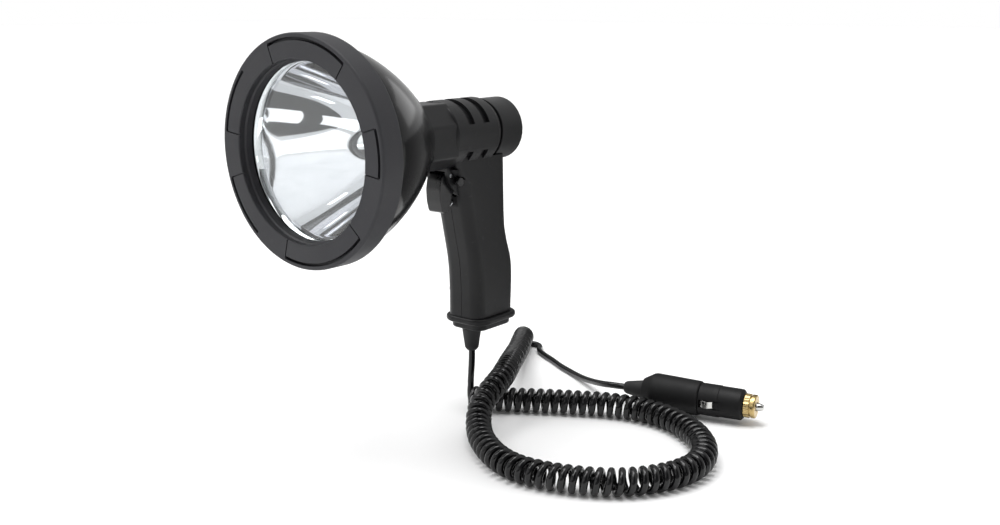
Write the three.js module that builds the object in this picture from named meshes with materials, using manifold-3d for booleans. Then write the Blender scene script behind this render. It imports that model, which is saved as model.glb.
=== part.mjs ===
// A handheld LED spotlight: a round head on a pistol grip, with a curly cord and a 12 V plug.
// Millimetres, +Z up. The beam leaves along -Y and +X is the lamp's left side, where the thumb lies.
// Everything is drawn from the centre of the head's front face, then moved so that the middle of
// the grip, where the hand holds it, is the origin.
import * as THREE from "three";
import { mergeVertices } from "three/addons/utils/BufferGeometryUtils.js";
import Module from "manifold-3d";

const wasm = await Module();
wasm.setup();

// Shared clearances and facets
const CLEARANCE = 0.3;
const OVERRUN = 1;
const WELD = 1e-4;
const HEAD_SIDES = 32;
const BARREL_SIDES = 24;
const PLUG_SIDES = 16;
const SMALL_SIDES = 8;
const ARC_STEP_DEG = 15;

// Head: bezel ring
const HEAD_RADIUS = 70;
const RIM_DEPTH = 16;
const RIM_WALL = 3.4;
const EDGE_BREAK = 1.2;
const FACE_WIDTH = 15;
const LIP_WIDTH = 1.7;
const LIP_STEP_SETBACK = 4.2;
const LIP_STEP_WIDTH = 0.9;
const LENS_SETBACK = 8.9;
const BEZEL_SEAT_DEPTH = 2.3;
const SLOT_INSET = 3.5;
const SLOT_WIDTH = 1.9;
const SLOT_DEPTH = 3.4;
const SEAM_WIDTH = 0.8;
const SEAM_DEPTH = 1.1;
const SLOT_ARCS_DEG = [[53, 111], [136, 172.5], [197.5, 232], [256, 318], [352.5, 376.5]];
const SEAM_ANGLES_DEG = [53, 111, 172.5, 197.5, 256, 318, 352.5, 376.5];

// Head: lens, gasket, reflector and bowl
const LENS_LAND = 4.7;
const LENS_THICKNESS = 2.8;
const LENS_CHAMFER = 0.4;
const GASKET_THICKNESS = 1.4;
const GASKET_WIDTH = 3.6;
const MOUTH_MARGIN = 0.8;
const REFLECTOR_FLANGE = 1.5;
const REFLECTOR_WALL = 1.4;
const REFLECTOR_HOLE_RADIUS = 10;
const REFLECTOR_RINGS = 7;
const APEX_MARGIN = 11.5;
const BOWL_STEP = 0.8;
const BOWL_LENGTH = 77.5;
const BOWL_WALL = 2.6;
const BOWL_CURVE_SHARE = 1.6;
const BOWL_RINGS = 6;
const SHELF_PLAY = 0.7;
const SHELF_THICKNESS = 2;
const BACK_WALL = 3;
const SPIGOT_WALL = 2.5;
const SPIGOT_LENGTH = 9.5;
const CATCH_HEIGHT = 1.7;
const CATCH_SETBACK = 5.2;
const CATCH_WIDTH = 2.6;

// Light engine
const PEDESTAL_PLAY = 1;
const SINK_FLANGE_MARGIN = 1.2;
const SINK_FLANGE_THICKNESS = 3;
const SINK_LENGTH = 34.5;
const SINK_CORE_SHARE = 0.4684;
const FIN_PLAY = 0.5;
const FIN_COUNT = 10;
const FIN_SHARE = 0.46;
const LED_SETBACK = 0.133;
const LED_BOARD_THICKNESS = 1.6;
const LED_BASE_SIZE = 5.4;
const LED_BASE_HEIGHT = 1;
const LED_DOME_RADIUS = 2.4;
const DOME_STEPS = 4;
const LED_WIRE_RADIUS = 0.8;
const LED_WIRE_OFFSET = 4.5;
const LED_WIRE_PLAY = 0.5;
const DRIVER_GAP = 2;
const DRIVER_PLAY = 1.5;
const DRIVER_THICKNESS = 1.6;
const INDUCTOR_RADIUS = 5;
const INDUCTOR_HEIGHT = 6;
const CAPACITOR_RADIUS = 4;
const CAPACITOR_HEIGHT = 8.5;

// Barrel of the body shells: its corners are shares of the round rear's radius
const ROUND_RADIUS = 23.2;
const BARREL_CORNER_SHARES = [[0.4526, 0.9483], [0.9267, 0.3534], [0.9267, -0.5431], [0.4526, -0.9267]];
const BARREL_LENGTH = 24;
const ROUND_LENGTH = 41.8;
const ROUND_CHAMFER = 2;
const NECK_STEP = 3.9;
const NECK_LENGTH = 4.9;
const FRONT_WALL = 4.1;
const REAR_WALL = 5.2;
const RIB_GROOVE_DEPTH = 2.4;
const RIB_GROOVE_WIDTH = 6.2;
const RIB_GROOVE_START_SHARES = [0.266, 0.629];
const RIB_UPPER_ARC_DEG = [20, 160];
const RIB_LOWER_ARCS_DEG = [[-62, -27], [207, 242]];

// Rear cap and its seal
const CAP_STEP = 1.5;
const CAP_LENGTH = 23.1;
const CAP_WALL = 3;
const CAP_ROUND = 2.4;
const CAP_SPIGOT_LENGTH = 7;
const CAP_SPIGOT_WALL = 2;
const SEAL_RADIUS = 1;
const SEAL_SIDES = 5;

// Grip: rows of how far down, how far back its front and how far back its rear lie, as shares of its
// length and depth
const GRIP_LENGTH = 108.3;
const GRIP_DEPTH = 55.6;
const GRIP_HALF_WIDTH = 15.5;
const GRIP_SETBACK = 4.5;
const GRIP_SINK = 0.5;
const GRIP_CORNER = 8.5;
const GRIP_CORNER_STEPS = 3;
const HOLLOW_CORNER_STEPS = 1;
const GRIP_PROFILE_SHARES = [
  [0, 0, 1], [0.0582, 0.1169, 1.0037], [0.1413, 0.1619, 1.0089], [0.2521, 0.2158, 1.0159],
  [0.3998, 0.2806, 1.0252], [0.5106, 0.3262, 1.0701], [0.6399, 0.3777, 1.1511], [0.7507, 0.3928, 1.1727],
  [1, 0.4029, 1.1565]];
const SHELL_WALL = 2.6;
const NECK_BLOCK_LEAD = 3.3;
const NECK_BLOCK_SINK = 7.3;
const NECK_BLOCK_TOP_SHARE = 0.3448;
const NECK_BLOCK_CORNER = 3;
const DUCT_HALF_WIDTH_SHARE = 0.7742;
const DUCT_FRONT_SHARE = 0.2338;
const DUCT_BACK_SHARE = 0.6115;

// Trigger and its cheeks: outlines as shares of their depth, backwards, and of their length, downwards
const PIVOT_SETBACK = 2.5;
const PIVOT_DROP = 4.3;
const CHEEK_HALF_WIDTH = 9.5;
const CHEEK_DEPTH = 20.6;
const CHEEK_LENGTH = 26;
const CHEEK_LEAD = 5.1;
const CHEEK_RISE = 9;
const CHEEK_OUTLINE_SHARES = [[0, 0], [1, 0], [1, 1], [0.5388, 0.8846], [0.1068, 0.5192]];
const TRIGGER_HALF_WIDTH = 6.5;
const BLADE_DEPTH = 18.2;
const BLADE_LENGTH = 27;
const BLADE_LEAD = 8.3;
const BLADE_RISE = 1.4;
const BLADE_OUTLINE_SHARES = [
  [0.2857, 0], [0.0769, 0.1259], [0, 0.3852], [0.022, 0.6815], [0.1319, 0.9556], [0.2747, 1],
  [0.4835, 0.9259], [0.6264, 0.7037], [0.7143, 0.5111], [1, 0.4296], [1, 0.2889], [0.7692, 0.163],
  [0.6154, 0.0148]];
const TRIGGER_BOSS_RADIUS = 3;
const TRIGGER_PIN_RADIUS = 1.5;
const POCKET_PLAY = 0.5;
const POCKET_LEAD = 8.2;
const POCKET_HEADROOM = 1.8;
const POCKET_FOOTROOM = 1.4;
const POCKET_STEP_SHARE = 0.6444;
const POCKET_STEP_LEAD = 0.5;

// The trigger's spring, switch and lock button
const SPRING_BORE_DEPTH = 7.1;
const SPRING_BORE_RADIUS = 3.2;
const SPRING_DROP_SHARE = 0.8;
const SPRING_FRONT_SHARE = 0.6538;
const SPRING_COIL_RADIUS = 2.3;
const SPRING_WIRE_RADIUS = 0.35;
const SPRING_TURNS = 5;
const SPRING_SIDES = 4;
const SPRING_STEPS = 6;
const SWITCH_HALF_WIDTH = 3.2;
const SWITCH_DEPTH = 10;
const SWITCH_HEADROOM = 0.6;
const SWITCH_FOOTROOM = 1.7;
const SWITCH_MARGIN = 0.4;
const SWITCH_REST_INSET = 2;
const PLUNGER_HALF_WIDTH = 1.2;
const PLUNGER_HEIGHT = 5;
const PLUNGER_DROP_SHARE = 0.3519;
const PLUNGER_GAP = 0.6;
const PLUNGER_PROUD = 2.8;
const PLUNGER_LENGTH = 4;
const PLUNGER_TRAVEL = 1.5;
const LOCK_SETBACK = 4.4;
const LOCK_DROP = 4;
const LOCK_HEAD_RADIUS = 3.1;
const LOCK_HEAD_HEIGHT = 2.4;
const LOCK_SHANK_RADIUS = 1.8;
const LOCK_TIP_PLAY = 0.1;
const LOCK_TRAVEL = 2.2;
const LOCK_RELIEF_RADIUS = 3.5;

// Screws that hold the two shells and the base; those of the shells lie at shares of the grip's depth
// and length
const SCREW_HEAD_RADIUS = 2.8;
const SCREW_HEAD_HEIGHT = 1.8;
const SCREW_SHANK_RADIUS = 1.4;
const SCREW_SINK = 0.8;
const SCREW_REACH_SHARE = 0.5806;
const SCREW_BOSS_RADIUS = 4;
const SCREW_SLOT_WIDTH = 0.8;
const SCREW_SLOT_DEPTH = 0.9;
const SHELL_SCREW_SHARES = [[0.8363, 0.1228], [0.4406, 0.3998], [0.9622, 0.566], [0.5396, 0.8338]];
const BASE_SCREW_INSET = 7.5;
const BASE_SCREW_SETBACK = 14.3;
const BASE_SCREW_HEIGHT = 15;
const BASE_BOSS_HALF = 3.6;
const BASE_BOSS_HEIGHT = 27;

// Grip base and strain relief
const BASE_FRONT_LIP = 1.7;
const BASE_REAR_LIP = 3.1;
const BASE_SIDE_LIP = 3.7;
const BASE_CORNER = 12;
const BASE_FLANGE = 4.6;
const BASE_FLANGE_ROUND = 1.6;
const BASE_FOOT = 5;
const BASE_FOOT_INSET = 4.4;
const BASE_SPIGOT_HEIGHT = 5.6;
const BASE_SPIGOT_WALL = 1.8;
const CORD_EXIT_SETBACK = 11.2;
const RELIEF_FLANGE_RADIUS = 8;
const RELIEF_FLANGE_HEIGHT = 2.2;
const RELIEF_NECK_RADIUS = 6.4;
const RELIEF_TOP_RADIUS = 6.7;
const RELIEF_END_RADIUS = 4.95;
const RELIEF_TIP_RADIUS = 3.3;
const RELIEF_LENGTH = 14.6;
const RELIEF_TIP = 2;

// Wires in the grip: points at shares of its half width, depth and length
const WIRE_RADIUS = 0.9;
const WIRE_SIDES = 8;
const SUPPLY_STEPS = 11;
const SWITCHED_STEPS = 6;
const WIRE_SPREAD_SHARE = 0.142;
const WIRE_SWITCH_SHARE = 0.065;
const WIRE_SWITCH_RUN = 3.7;
const WIRE_SWITCH_BEND = 1.7;
const WIRE_SWITCH_DROP = 8.7;
const SWITCHED_START_SHARE = 0.52;
const SUPPLY_RED_SHARES = [
  [-0.142, 0.621, 0.917], [-0.168, 0.683, 0.788], [-0.194, 0.71, 0.64], [-0.194, 0.683, 0.474],
  [-0.168, 0.576, 0.344]];
const SUPPLY_BLACK_SHARES = [
  [0.142, 0.638, 0.898], [0.181, 0.719, 0.751], [0.206, 0.728, 0.584], [0.206, 0.683, 0.4],
  [0.232, 0.604, 0.234], [0.323, 0.547, 0.086], [0.387, 0.511, -0.043], [0.387, 0.504, -0.126]];
const SWITCHED_SHARES = [[-0.065, 0.371, -0.034], [-0.065, 0.333, -0.09], [-0.065, 0.299, -0.14]];

// Cord: one cable, straight, wound into curls, then straight again to the plug
const CABLE_RADIUS = 2.35;
const CABLE_SIDES = 8;
const CURL_RADIUS = 6.55;
const CURL_COUNT = 98;
const CURL_STEPS = 8;
const CURL_SIDES = 4;
const LEAD_STEPS = 8;
const TAIL_STEPS = 22;
const LAST_CURL_SHARE = 0.25;

// Routes of the cord and the place of the plug, counted from where the cable leaves the strain relief:
// down to the first curl, the middle line of the curls, and from the last curl up into the plug
const LEAD_ROUTE = [
  [0, 0, -2.9], [0, -0.1, -6.4], [0, -0.3, -9.9], [0, -0.6, -13.4], [0, -0.9, -16.9], [0, -1.2, -20.4],
  [0, -1.4, -23.9], [0, -1.4, -26.4]];
const CURL_LINE = [
  [3.1, -7.2, -33.9], [12, -2, -33.9], [28, 8.2, -33.9], [47, 20.6, -33.9], [67, 32.6, -33.9],
  [84, 42, -33.9], [98, 47.6, -33.9], [113, 50.4, -33.9], [130, 49.8, -33.9], [146, 45, -33.9],
  [161, 36.4, -33.9], [174, 25.4, -33.9], [183.5, 13, -33.9], [189.8, -1.6, -33.9],
  [191.6, -16.6, -33.9], [188.8, -31.6, -33.9], [182, -46.1, -33.9], [171.5, -60.1, -33.9],
  [158, -70.6, -33.9], [142, -78.2, -33.9], [125, -83.4, -33.9], [109, -84.8, -33.9],
  [93.5, -81.4, -33.9], [77.5, -73.6, -33.8], [61, -62.2, -33.2], [51, -52.8, -31.9],
  [44.6, -45.6, -29.7], [40, -39.2, -26.7], [36.4, -31.4, -22.7], [34.6, -23.2, -19.2],
  [32.6, -14, -16.7], [27.1, 1, -15.2], [19.4, 15.4, -15.4], [7.4, 35, -17.5], [-8, 59.4, -21.5],
  [-29.5, 92.4, -27.5], [-46.4, 117.4, -31.3], [-61.1, 140.2, -33.5]];
const TAIL_ROUTE = [
  [-52.4, 144.4, -40.2], [-47.5, 143.4, -40.4], [-43.7, 140.1, -40.4], [-41, 135.6, -40.4],
  [-37.6, 131.6, -40.4], [-32.6, 128, -40.4], [-25.5, 123.8, -40.4], [-17, 119.4, -40.4],
  [-9.6, 115.2, -40.4], [0.9, 109.2, -40.4], [11.8, 104, -40.3], [23.7, 97.8, -39.7],
  [36.4, 90.4, -38.1], [48.7, 82.9, -35.5], [55, 78.9, -33.9], [61, 75.4, -32.4], [67, 72.6, -31],
  [73, 71.3, -29.9], [79, 71.5, -29.4], [84.4, 72.7, -29.3]];

// Plug, drawn along its own +Y from the cable end to the tip
const PLUG_PLACE = [84.7, 72.8, -29.3];
const PLUG_TURN_DEG = -76.8;
const PLUG_RELIEF_TIP_RADIUS = 3.4;
const PLUG_RELIEF_RADIUS = 4.6;
const PLUG_RELIEF_BACK_RADIUS = 6.9;
const PLUG_RELIEF_TIP = 1.8;
const PLUG_RELIEF_LENGTH = 14.3;
const PLUG_RELIEF_NECK_RADIUS = 4.5;
const PLUG_RELIEF_NECK = 6;
const PLUG_BODY_START_RADIUS = 8.6;
const PLUG_BODY_RADIUS = 13.5;
const PLUG_BODY_FRONT_RADIUS = 12.3;
const PLUG_SHOULDER = 8.3;
const PLUG_BODY_LENGTH = 42.4;
const PLUG_BODY_CHAMFER = 0.7;
const PLUG_BODY_WALL = 3.4;
const PLUG_SLEEVE_RADIUS = 11.4;
const PLUG_SLEEVE_FRONT_RADIUS = 10.9;
const PLUG_SLEEVE_LENGTH = 31.1;
const PLUG_SLEEVE_COLLAR = 13.7;
const PLUG_SLEEVE_STEP = 0.3;
const PLUG_SLEEVE_CHAMFER = 1.6;
const PLUG_SLEEVE_SPIGOT = 7;
const FUSE_BORE_RADIUS = 4.2;
const NOSE_THREAD_RADIUS = 6.5;
const NOSE_THREAD_LENGTH = 5.4;
const NOSE_RADIUS = 8.5;
const NOSE_KNURL_DEPTH = 0.45;
const NOSE_KNURLS = 15;
const NOSE_KNURL_LENGTH = 4;
const NOSE_WAIST_RADIUS = 7.2;
const NOSE_WAIST_LENGTH = 1;
const NOSE_FLANGE_RADIUS = 8.3;
const NOSE_FLANGE_LENGTH = 3.1;
const NOSE_FLANGE_ROUND = 1.1;
const NOSE_BORE_RADIUS = 3.3;
const PIN_TIP_RADIUS = 2.6;
const PIN_PROUD = 5.4;
const PIN_FLANGE_RADIUS = 3.8;
const PIN_FLANGE_LENGTH = 2.4;
const FUSE_RADIUS = 3.1;
const FUSE_LENGTH = 30;
const PLUG_SPRING_COIL_RADIUS = 2.7;
const PLUG_SPRING_WIRE_RADIUS = 0.45;
const PLUG_SPRING_TURNS = 6;
const CONTACT_START = 0.9;
const CONTACT_LENGTH = 10;
const CONTACT_HALF_WIDTH = 2.4;
const CONTACT_THICKNESS = 0.9;
const CONTACT_PROUD = 1;
const CONTACT_END_DEPTH = 1.2;
const CONTACT_POCKET_DEPTH = 4.2;
const CONTACT_STEPS = 6;
const RAIL_LENGTH = 5;
const RAIL_WIDTH = 0.8;
const RAIL_DEPTH = 0.6;

// Where the hand holds the lamp: the origin of the finished part
const HOLD_SETBACK = 40;
const HOLD_DROP = 62.3;

// Colours and finishes
const finish = (color, roughness, metalness) =>
  new THREE.MeshStandardMaterial({ color, roughness, metalness });
const BEZEL_ABS = finish(0x46464a, 0.6, 0);
const BOWL_ABS = finish(0x2b2b2e, 0.25, 0);
const SHELL_ABS = finish(0x2c2c2e, 0.5, 0);
const CONTROL_ABS = finish(0x18181a, 0.35, 0);
const GLASS = finish(0xe8eef0, 0.05, 0);
GLASS.transparent = true;
GLASS.opacity = 0.3;
const RUBBER = finish(0x1c1c1e, 0.8, 0);
const MIRROR = finish(0xe8e8ea, 0.05, 1);
const ALUMINIUM = finish(0xa8aaad, 0.4, 1);
const BOARD_WHITE = finish(0xf0f0ec, 0.5, 0);
const PHOSPHOR = finish(0xf2d65a, 0.4, 0);
const BOARD_GREEN = finish(0x1f5a36, 0.5, 0);
const STEEL = finish(0xb8babc, 0.3, 1);
const BLACK_STEEL = finish(0x2a2a2c, 0.4, 1);
const CABLE_PVC = finish(0x17171a, 0.35, 0);
const RED_PVC = finish(0xa01818, 0.5, 0);
const BRASS = finish(0xb99a5a, 0.3, 1);
const NICKEL = finish(0xc8c8c6, 0.2, 1);
const FUSE_GLASS = finish(0xd8dcdc, 0.1, 0);

// Turns a closed three.js geometry into a manifold-3d solid that faces outwards.
function solid(geometry) {
  const bare = geometry.index ? geometry.toNonIndexed() : geometry.clone();
  bare.deleteAttribute("normal");
  bare.deleteAttribute("uv");
  const welded = mergeVertices(bare, WELD);
  const corners = welded.index.array;
  const faces = [];
  for (let i = 0; i < corners.length; i += 3) {
    const [a, b, c] = [corners[i], corners[i + 1], corners[i + 2]];
    if (a !== b && b !== c && c !== a) faces.push(a, b, c);
  }
  const vertProperties = welded.attributes.position.array;
  const build = (triVerts) => new wasm.Manifold(new wasm.Mesh({ numProp: 3, vertProperties, triVerts }));
  const made = build(new Uint32Array(faces));
  return made.volume() < 0 ? build(new Uint32Array(faces.reverse())) : made;
}

// Adds a solid to a group as a named mesh.
function place(group, name, made, material) {
  const { vertProperties, triVerts } = made.getMesh();
  const geometry = new THREE.BufferGeometry();
  geometry.setAttribute("position", new THREE.BufferAttribute(new Float32Array(vertProperties), 3));
  geometry.setIndex(new THREE.BufferAttribute(new Uint32Array(triVerts), 1));
  geometry.computeVertexNormals();
  const mesh = new THREE.Mesh(geometry, material);
  mesh.name = name;
  group.add(mesh);
}

const radians = THREE.MathUtils.degToRad;
const joined = (...solids) => solids.reduce((whole, next) => whole.add(next));
const cut = (body, ...tools) => tools.reduce((whole, next) => whole.subtract(next), body);

// Moves a finished solid by a three.js matrix.
function moved(made, matrix) {
  const { vertProperties, triVerts } = made.getMesh();
  const geometry = new THREE.BufferGeometry();
  geometry.setAttribute("position", new THREE.BufferAttribute(new Float32Array(vertProperties), 3));
  geometry.setIndex(new THREE.BufferAttribute(new Uint32Array(triVerts), 1));
  return solid(geometry.applyMatrix4(matrix));
}

// A turned piece about the Y axis, from [radius, y] corners that close on themselves or on the axis.
function turned(corners, sides) {
  const profile = corners.map(([r, y]) => new THREE.Vector2(r, y));
  const closes = corners[0][0] > 0 || corners.at(-1)[0] > 0;
  if (closes) profile.push(profile[0].clone());
  return solid(new THREE.LatheGeometry(profile, sides));
}

// A round bar along Y between two places.
function rod(radius, front, back, sides, x = 0, z = 0) {
  const geometry = new THREE.CylinderGeometry(radius, radius, back - front, sides);
  return solid(geometry.translate(x, (front + back) / 2, z));
}

// A round bar along X.
function crossRod(radius, left, right, sides, y, z) {
  const geometry = new THREE.CylinderGeometry(radius, radius, right - left, sides);
  return solid(geometry.rotateZ(Math.PI / 2).translate((left + right) / 2, y, z));
}

// A round bar along Z.
function uprightRod(radius, bottom, top, x, y, sides = SMALL_SIDES) {
  const geometry = new THREE.CylinderGeometry(radius, radius, top - bottom, sides).rotateX(Math.PI / 2);
  return solid(geometry.translate(x, y, (bottom + top) / 2));
}

// A box between two corners.
function block(x0, x1, y0, y1, z0, z1) {
  const geometry = new THREE.BoxGeometry(x1 - x0, y1 - y0, z1 - z0);
  return solid(geometry.translate((x0 + x1) / 2, (y0 + y1) / 2, (z0 + z1) / 2));
}

// A plate whose outline lies in the YZ plane, between two places along X.
function sidePlate(outline, left, right) {
  const shape = new THREE.Shape(outline.map(([y, z]) => new THREE.Vector2(y, z)));
  const geometry = new THREE.ExtrudeGeometry(shape, { depth: right - left, bevelEnabled: false });
  const turn = new THREE.Matrix4().makeBasis(
    new THREE.Vector3(0, 1, 0), new THREE.Vector3(0, 0, 1), new THREE.Vector3(1, 0, 0));
  return solid(geometry.applyMatrix4(turn).translate(left, 0, 0));
}

// A bar whose outline lies in the XZ plane, between two places along Y.
function beamPlate(outline, front, back) {
  const shape = new THREE.Shape(outline.map(([x, z]) => new THREE.Vector2(x, -z)));
  const geometry = new THREE.ExtrudeGeometry(shape, { depth: back - front, bevelEnabled: false });
  return solid(geometry.rotateX(-Math.PI / 2).translate(0, front, 0));
}

// A closed skin over equal rings of points, capped flat at both ends.
function lofted(rings) {
  const count = rings[0].length;
  const points = rings.flat();
  const faces = [];
  for (let k = 0; k < rings.length - 1; k += 1) {
    for (let i = 0; i < count; i += 1) {
      const [a, b] = [k * count + i, k * count + (i + 1) % count];
      faces.push(a, b, b + count, a, b + count, a + count);
    }
  }
  const last = (rings.length - 1) * count;
  for (let i = 1; i < count - 1; i += 1) {
    faces.push(0, i + 1, i, last, last + i, last + i + 1);
  }
  const geometry = new THREE.BufferGeometry().setFromPoints(points);
  geometry.setIndex(faces);
  return solid(geometry);
}

// One level ring of a rounded rectangle, centred on x = 0.
function roundedRing(halfWidth, front, rear, corner, z, steps = GRIP_CORNER_STEPS) {
  const ring = [];
  const centres = [
    [halfWidth - corner, rear - corner], [corner - halfWidth, rear - corner],
    [corner - halfWidth, front + corner], [halfWidth - corner, front + corner]];
  centres.forEach(([x, y], quarter) => {
    for (let i = 0; i <= steps; i += 1) {
      const angle = (quarter + i / steps) * Math.PI / 2;
      ring.push(new THREE.Vector3(x + corner * Math.cos(angle), y + corner * Math.sin(angle), z));
    }
  });
  return ring;
}

// A ring sector about the Y axis, used to cut arc-shaped slots and grooves.
function arcBar(inner, outer, front, back, fromDeg, toDeg) {
  const shape = new THREE.Shape();
  shape.absarc(0, 0, outer, radians(-fromDeg), radians(-toDeg), true);
  shape.absarc(0, 0, inner, radians(-toDeg), radians(-fromDeg), false);
  const curveSegments = Math.ceil((toDeg - fromDeg) / ARC_STEP_DEG);
  const depth = back - front;
  const geometry = new THREE.ExtrudeGeometry(shape, { depth, bevelEnabled: false, curveSegments });
  return solid(geometry.rotateX(-Math.PI / 2).translate(0, front, 0));
}

// A wound tube: each ring of its skin has a centre and a direction that points out of the winding.
function woundTube(centres, outwards, radius, sides) {
  const rings = [];
  centres.forEach((point, i) => {
    const before = centres[Math.max(i - 1, 0)];
    const after = centres[Math.min(i + 1, centres.length - 1)];
    const along = new THREE.Vector3().subVectors(after, before).normalize();
    const side = outwards[i].clone().addScaledVector(along, -outwards[i].dot(along)).normalize();
    const up = new THREE.Vector3().crossVectors(along, side);
    rings.push(Array.from({ length: sides }, (_, k) => {
      const angle = 2 * Math.PI * k / sides;
      const [across, over] = [radius * Math.cos(angle), radius * Math.sin(angle)];
      return point.clone().addScaledVector(side, across).addScaledVector(up, over);
    }));
  });
  return lofted(rings);
}

// A cable along a smooth curve through chosen points.
function cable(points, radius, sides, steps) {
  const path = new THREE.CatmullRomCurve3(points.map((p) => new THREE.Vector3(...p)), false, "centripetal");
  const section = new THREE.Shape(Array.from({ length: sides }, (_, k) => {
    const angle = 2 * Math.PI * k / sides;
    return new THREE.Vector2(radius * Math.cos(angle), radius * Math.sin(angle));
  }));
  return solid(new THREE.ExtrudeGeometry(section, { steps, extrudePath: path, bevelEnabled: false }));
}

// A compression spring along Y.
function spring(coilRadius, wireRadius, turns, front, back, x, z) {
  const steps = turns * SPRING_STEPS;
  const length = back - front - 2 * wireRadius;
  const outwards = Array.from({ length: steps + 1 }, (_, i) => {
    const angle = 2 * Math.PI * i / SPRING_STEPS;
    return new THREE.Vector3(Math.cos(angle), 0, Math.sin(angle));
  });
  const centres = outwards.map((outward, i) =>
    new THREE.Vector3(x, front + wireRadius + length * i / steps, z).addScaledVector(outward, coilRadius));
  return woundTube(centres, outwards, wireRadius, SPRING_SIDES);
}

// The grip's front and rear at a height, read straight between the rows of its profile.
function gripEdges(z) {
  const k = Math.min(gripRows.length - 2, Math.max(0, gripRows.findIndex(([level]) => level <= z) - 1));
  const [[z0, front0, rear0], [z1, front1, rear1]] = [gripRows[k], gripRows[k + 1]];
  const share = (z - z0) / (z1 - z0);
  return [front0 + (front1 - front0) * share, rear0 + (rear1 - rear0) * share];
}

// The head's radii, from the bezel inwards
const faceInnerRadius = HEAD_RADIUS - FACE_WIDTH;
const openingRadius = faceInnerRadius - LIP_WIDTH;
const slotRadius = HEAD_RADIUS - SLOT_INSET;
const skirtRadius = HEAD_RADIUS - RIM_WALL;
const bowlFrontRadius = skirtRadius - CLEARANCE - BOWL_STEP;
const lensRadius = openingRadius + LENS_LAND;
const pocketRadius = lensRadius + CLEARANCE;
const mouthRadius = openingRadius - MOUTH_MARGIN;
const shelfRadius = mouthRadius + REFLECTOR_WALL + SHELF_PLAY;
const pedestalRadius = REFLECTOR_HOLE_RADIUS - PEDESTAL_PLAY;

// The barrel's radii, from the round rear inwards
const frontBoreRadius = ROUND_RADIUS - FRONT_WALL;
const rearBoreRadius = ROUND_RADIUS - REAR_WALL;
const headSpigotRadius = frontBoreRadius - CLEARANCE;
const headSpigotBore = headSpigotRadius - SPIGOT_WALL;
const catchRadius = headSpigotRadius + CATCH_HEIGHT;
const sinkFlangeRadius = ROUND_RADIUS - SINK_FLANGE_MARGIN;
const sinkRadius = headSpigotBore - FIN_PLAY;
const sinkCoreRadius = sinkRadius * SINK_CORE_SHARE;
const neckRadius = ROUND_RADIUS - NECK_STEP;
const capRadius = ROUND_RADIUS - CAP_STEP;

// Places along the beam axis, from the bezel's face to the end of the cap
const bezelSeat = LENS_SETBACK + BEZEL_SEAT_DEPTH;
const lensFront = LENS_SETBACK + CLEARANCE;
const lensBack = lensFront + LENS_THICKNESS;
const gasketFront = lensBack + CLEARANCE;
const gasketBack = gasketFront + GASKET_THICKNESS;
const mouthY = gasketBack + CLEARANCE;
const flangeBack = mouthY + REFLECTOR_FLANGE;
const shelfFront = flangeBack + CLEARANCE;
const shelfBack = shelfFront + SHELF_THICKNESS;
const bowlBack = RIM_DEPTH + BOWL_LENGTH;
const apexY = bowlBack - APEX_MARGIN;
const sinkBack = bowlBack + SINK_LENGTH;
const roundFront = bowlBack + BARREL_LENGTH;
const roundBack = roundFront + ROUND_LENGTH;
const neckBack = roundBack + NECK_LENGTH;
const capFront = neckBack + CLEARANCE;
const capBack = capFront + CAP_LENGTH;
const capSpigotFront = capFront - CAP_SPIGOT_LENGTH;
const driverFront = sinkBack + DRIVER_GAP;
const driverLength = capSpigotFront - DRIVER_PLAY - driverFront;

// The parabola that the reflector follows, and the light engine about its focus
const parabola = mouthRadius ** 2 / (apexY - mouthY);
const ledSeat = apexY - parabola / 4 + LED_SETBACK;
const ledBack = ledSeat + LED_BASE_HEIGHT;
const ledBoardFront = ledBack + CLEARANCE;
const ledBoardBack = ledBoardFront + LED_BOARD_THICKNESS;
const pedestalFront = ledBoardBack + CLEARANCE;

// The grip, its neck and the duct that leads up into the barrel
const gripFront = roundFront + GRIP_SETBACK;
const gripTop = GRIP_SINK - ROUND_RADIUS;
const gripBottom = gripTop - GRIP_LENGTH;
const gripRows = GRIP_PROFILE_SHARES.map(([down, front, rear]) =>
  [gripTop - down * GRIP_LENGTH, gripFront + front * GRIP_DEPTH, gripFront + rear * GRIP_DEPTH]);
const [footFront, footRear] = gripEdges(gripBottom);
const neckBlockFront = gripFront - NECK_BLOCK_LEAD;
const neckBlockTop = -ROUND_RADIUS * NECK_BLOCK_TOP_SHARE;
const neckBlockBottom = gripTop - NECK_BLOCK_SINK;
const ductHalfWidth = GRIP_HALF_WIDTH * DUCT_HALF_WIDTH_SHARE;
const ductFront = gripFront + GRIP_DEPTH * DUCT_FRONT_SHARE;
const ductBack = gripFront + GRIP_DEPTH * DUCT_BACK_SHARE;

// The trigger's pivot and blade, and what lies behind them in the grip
const triggerPivot = [gripFront + PIVOT_SETBACK, gripTop - PIVOT_DROP];
const bladeFront = triggerPivot[0] - BLADE_LEAD;
const bladeBack = bladeFront + BLADE_DEPTH;
const bladeTop = triggerPivot[1] + BLADE_RISE;
const bladeBottom = bladeTop - BLADE_LENGTH;
const plungerTip = bladeBack + PLUNGER_GAP;
const plungerBack = plungerTip + PLUNGER_LENGTH;
const plungerTop = bladeTop - BLADE_LENGTH * PLUNGER_DROP_SHARE + PLUNGER_HEIGHT / 2;
const plungerBottom = plungerTop - PLUNGER_HEIGHT;
const pocketHalfWidth = TRIGGER_HALF_WIDTH + POCKET_PLAY;
const pocketFront = bladeFront - POCKET_LEAD;
const pocketTop = bladeTop + POCKET_HEADROOM;
const pocketBottom = bladeBottom - POCKET_FOOTROOM;
const pocketStepZ = bladeTop - BLADE_LENGTH * POCKET_STEP_SHARE;
const pocketLowBack = bladeBack - POCKET_STEP_LEAD;
const switchFront = plungerTip + PLUNGER_PROUD;
const pocketBack = switchFront + SWITCH_MARGIN;
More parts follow.
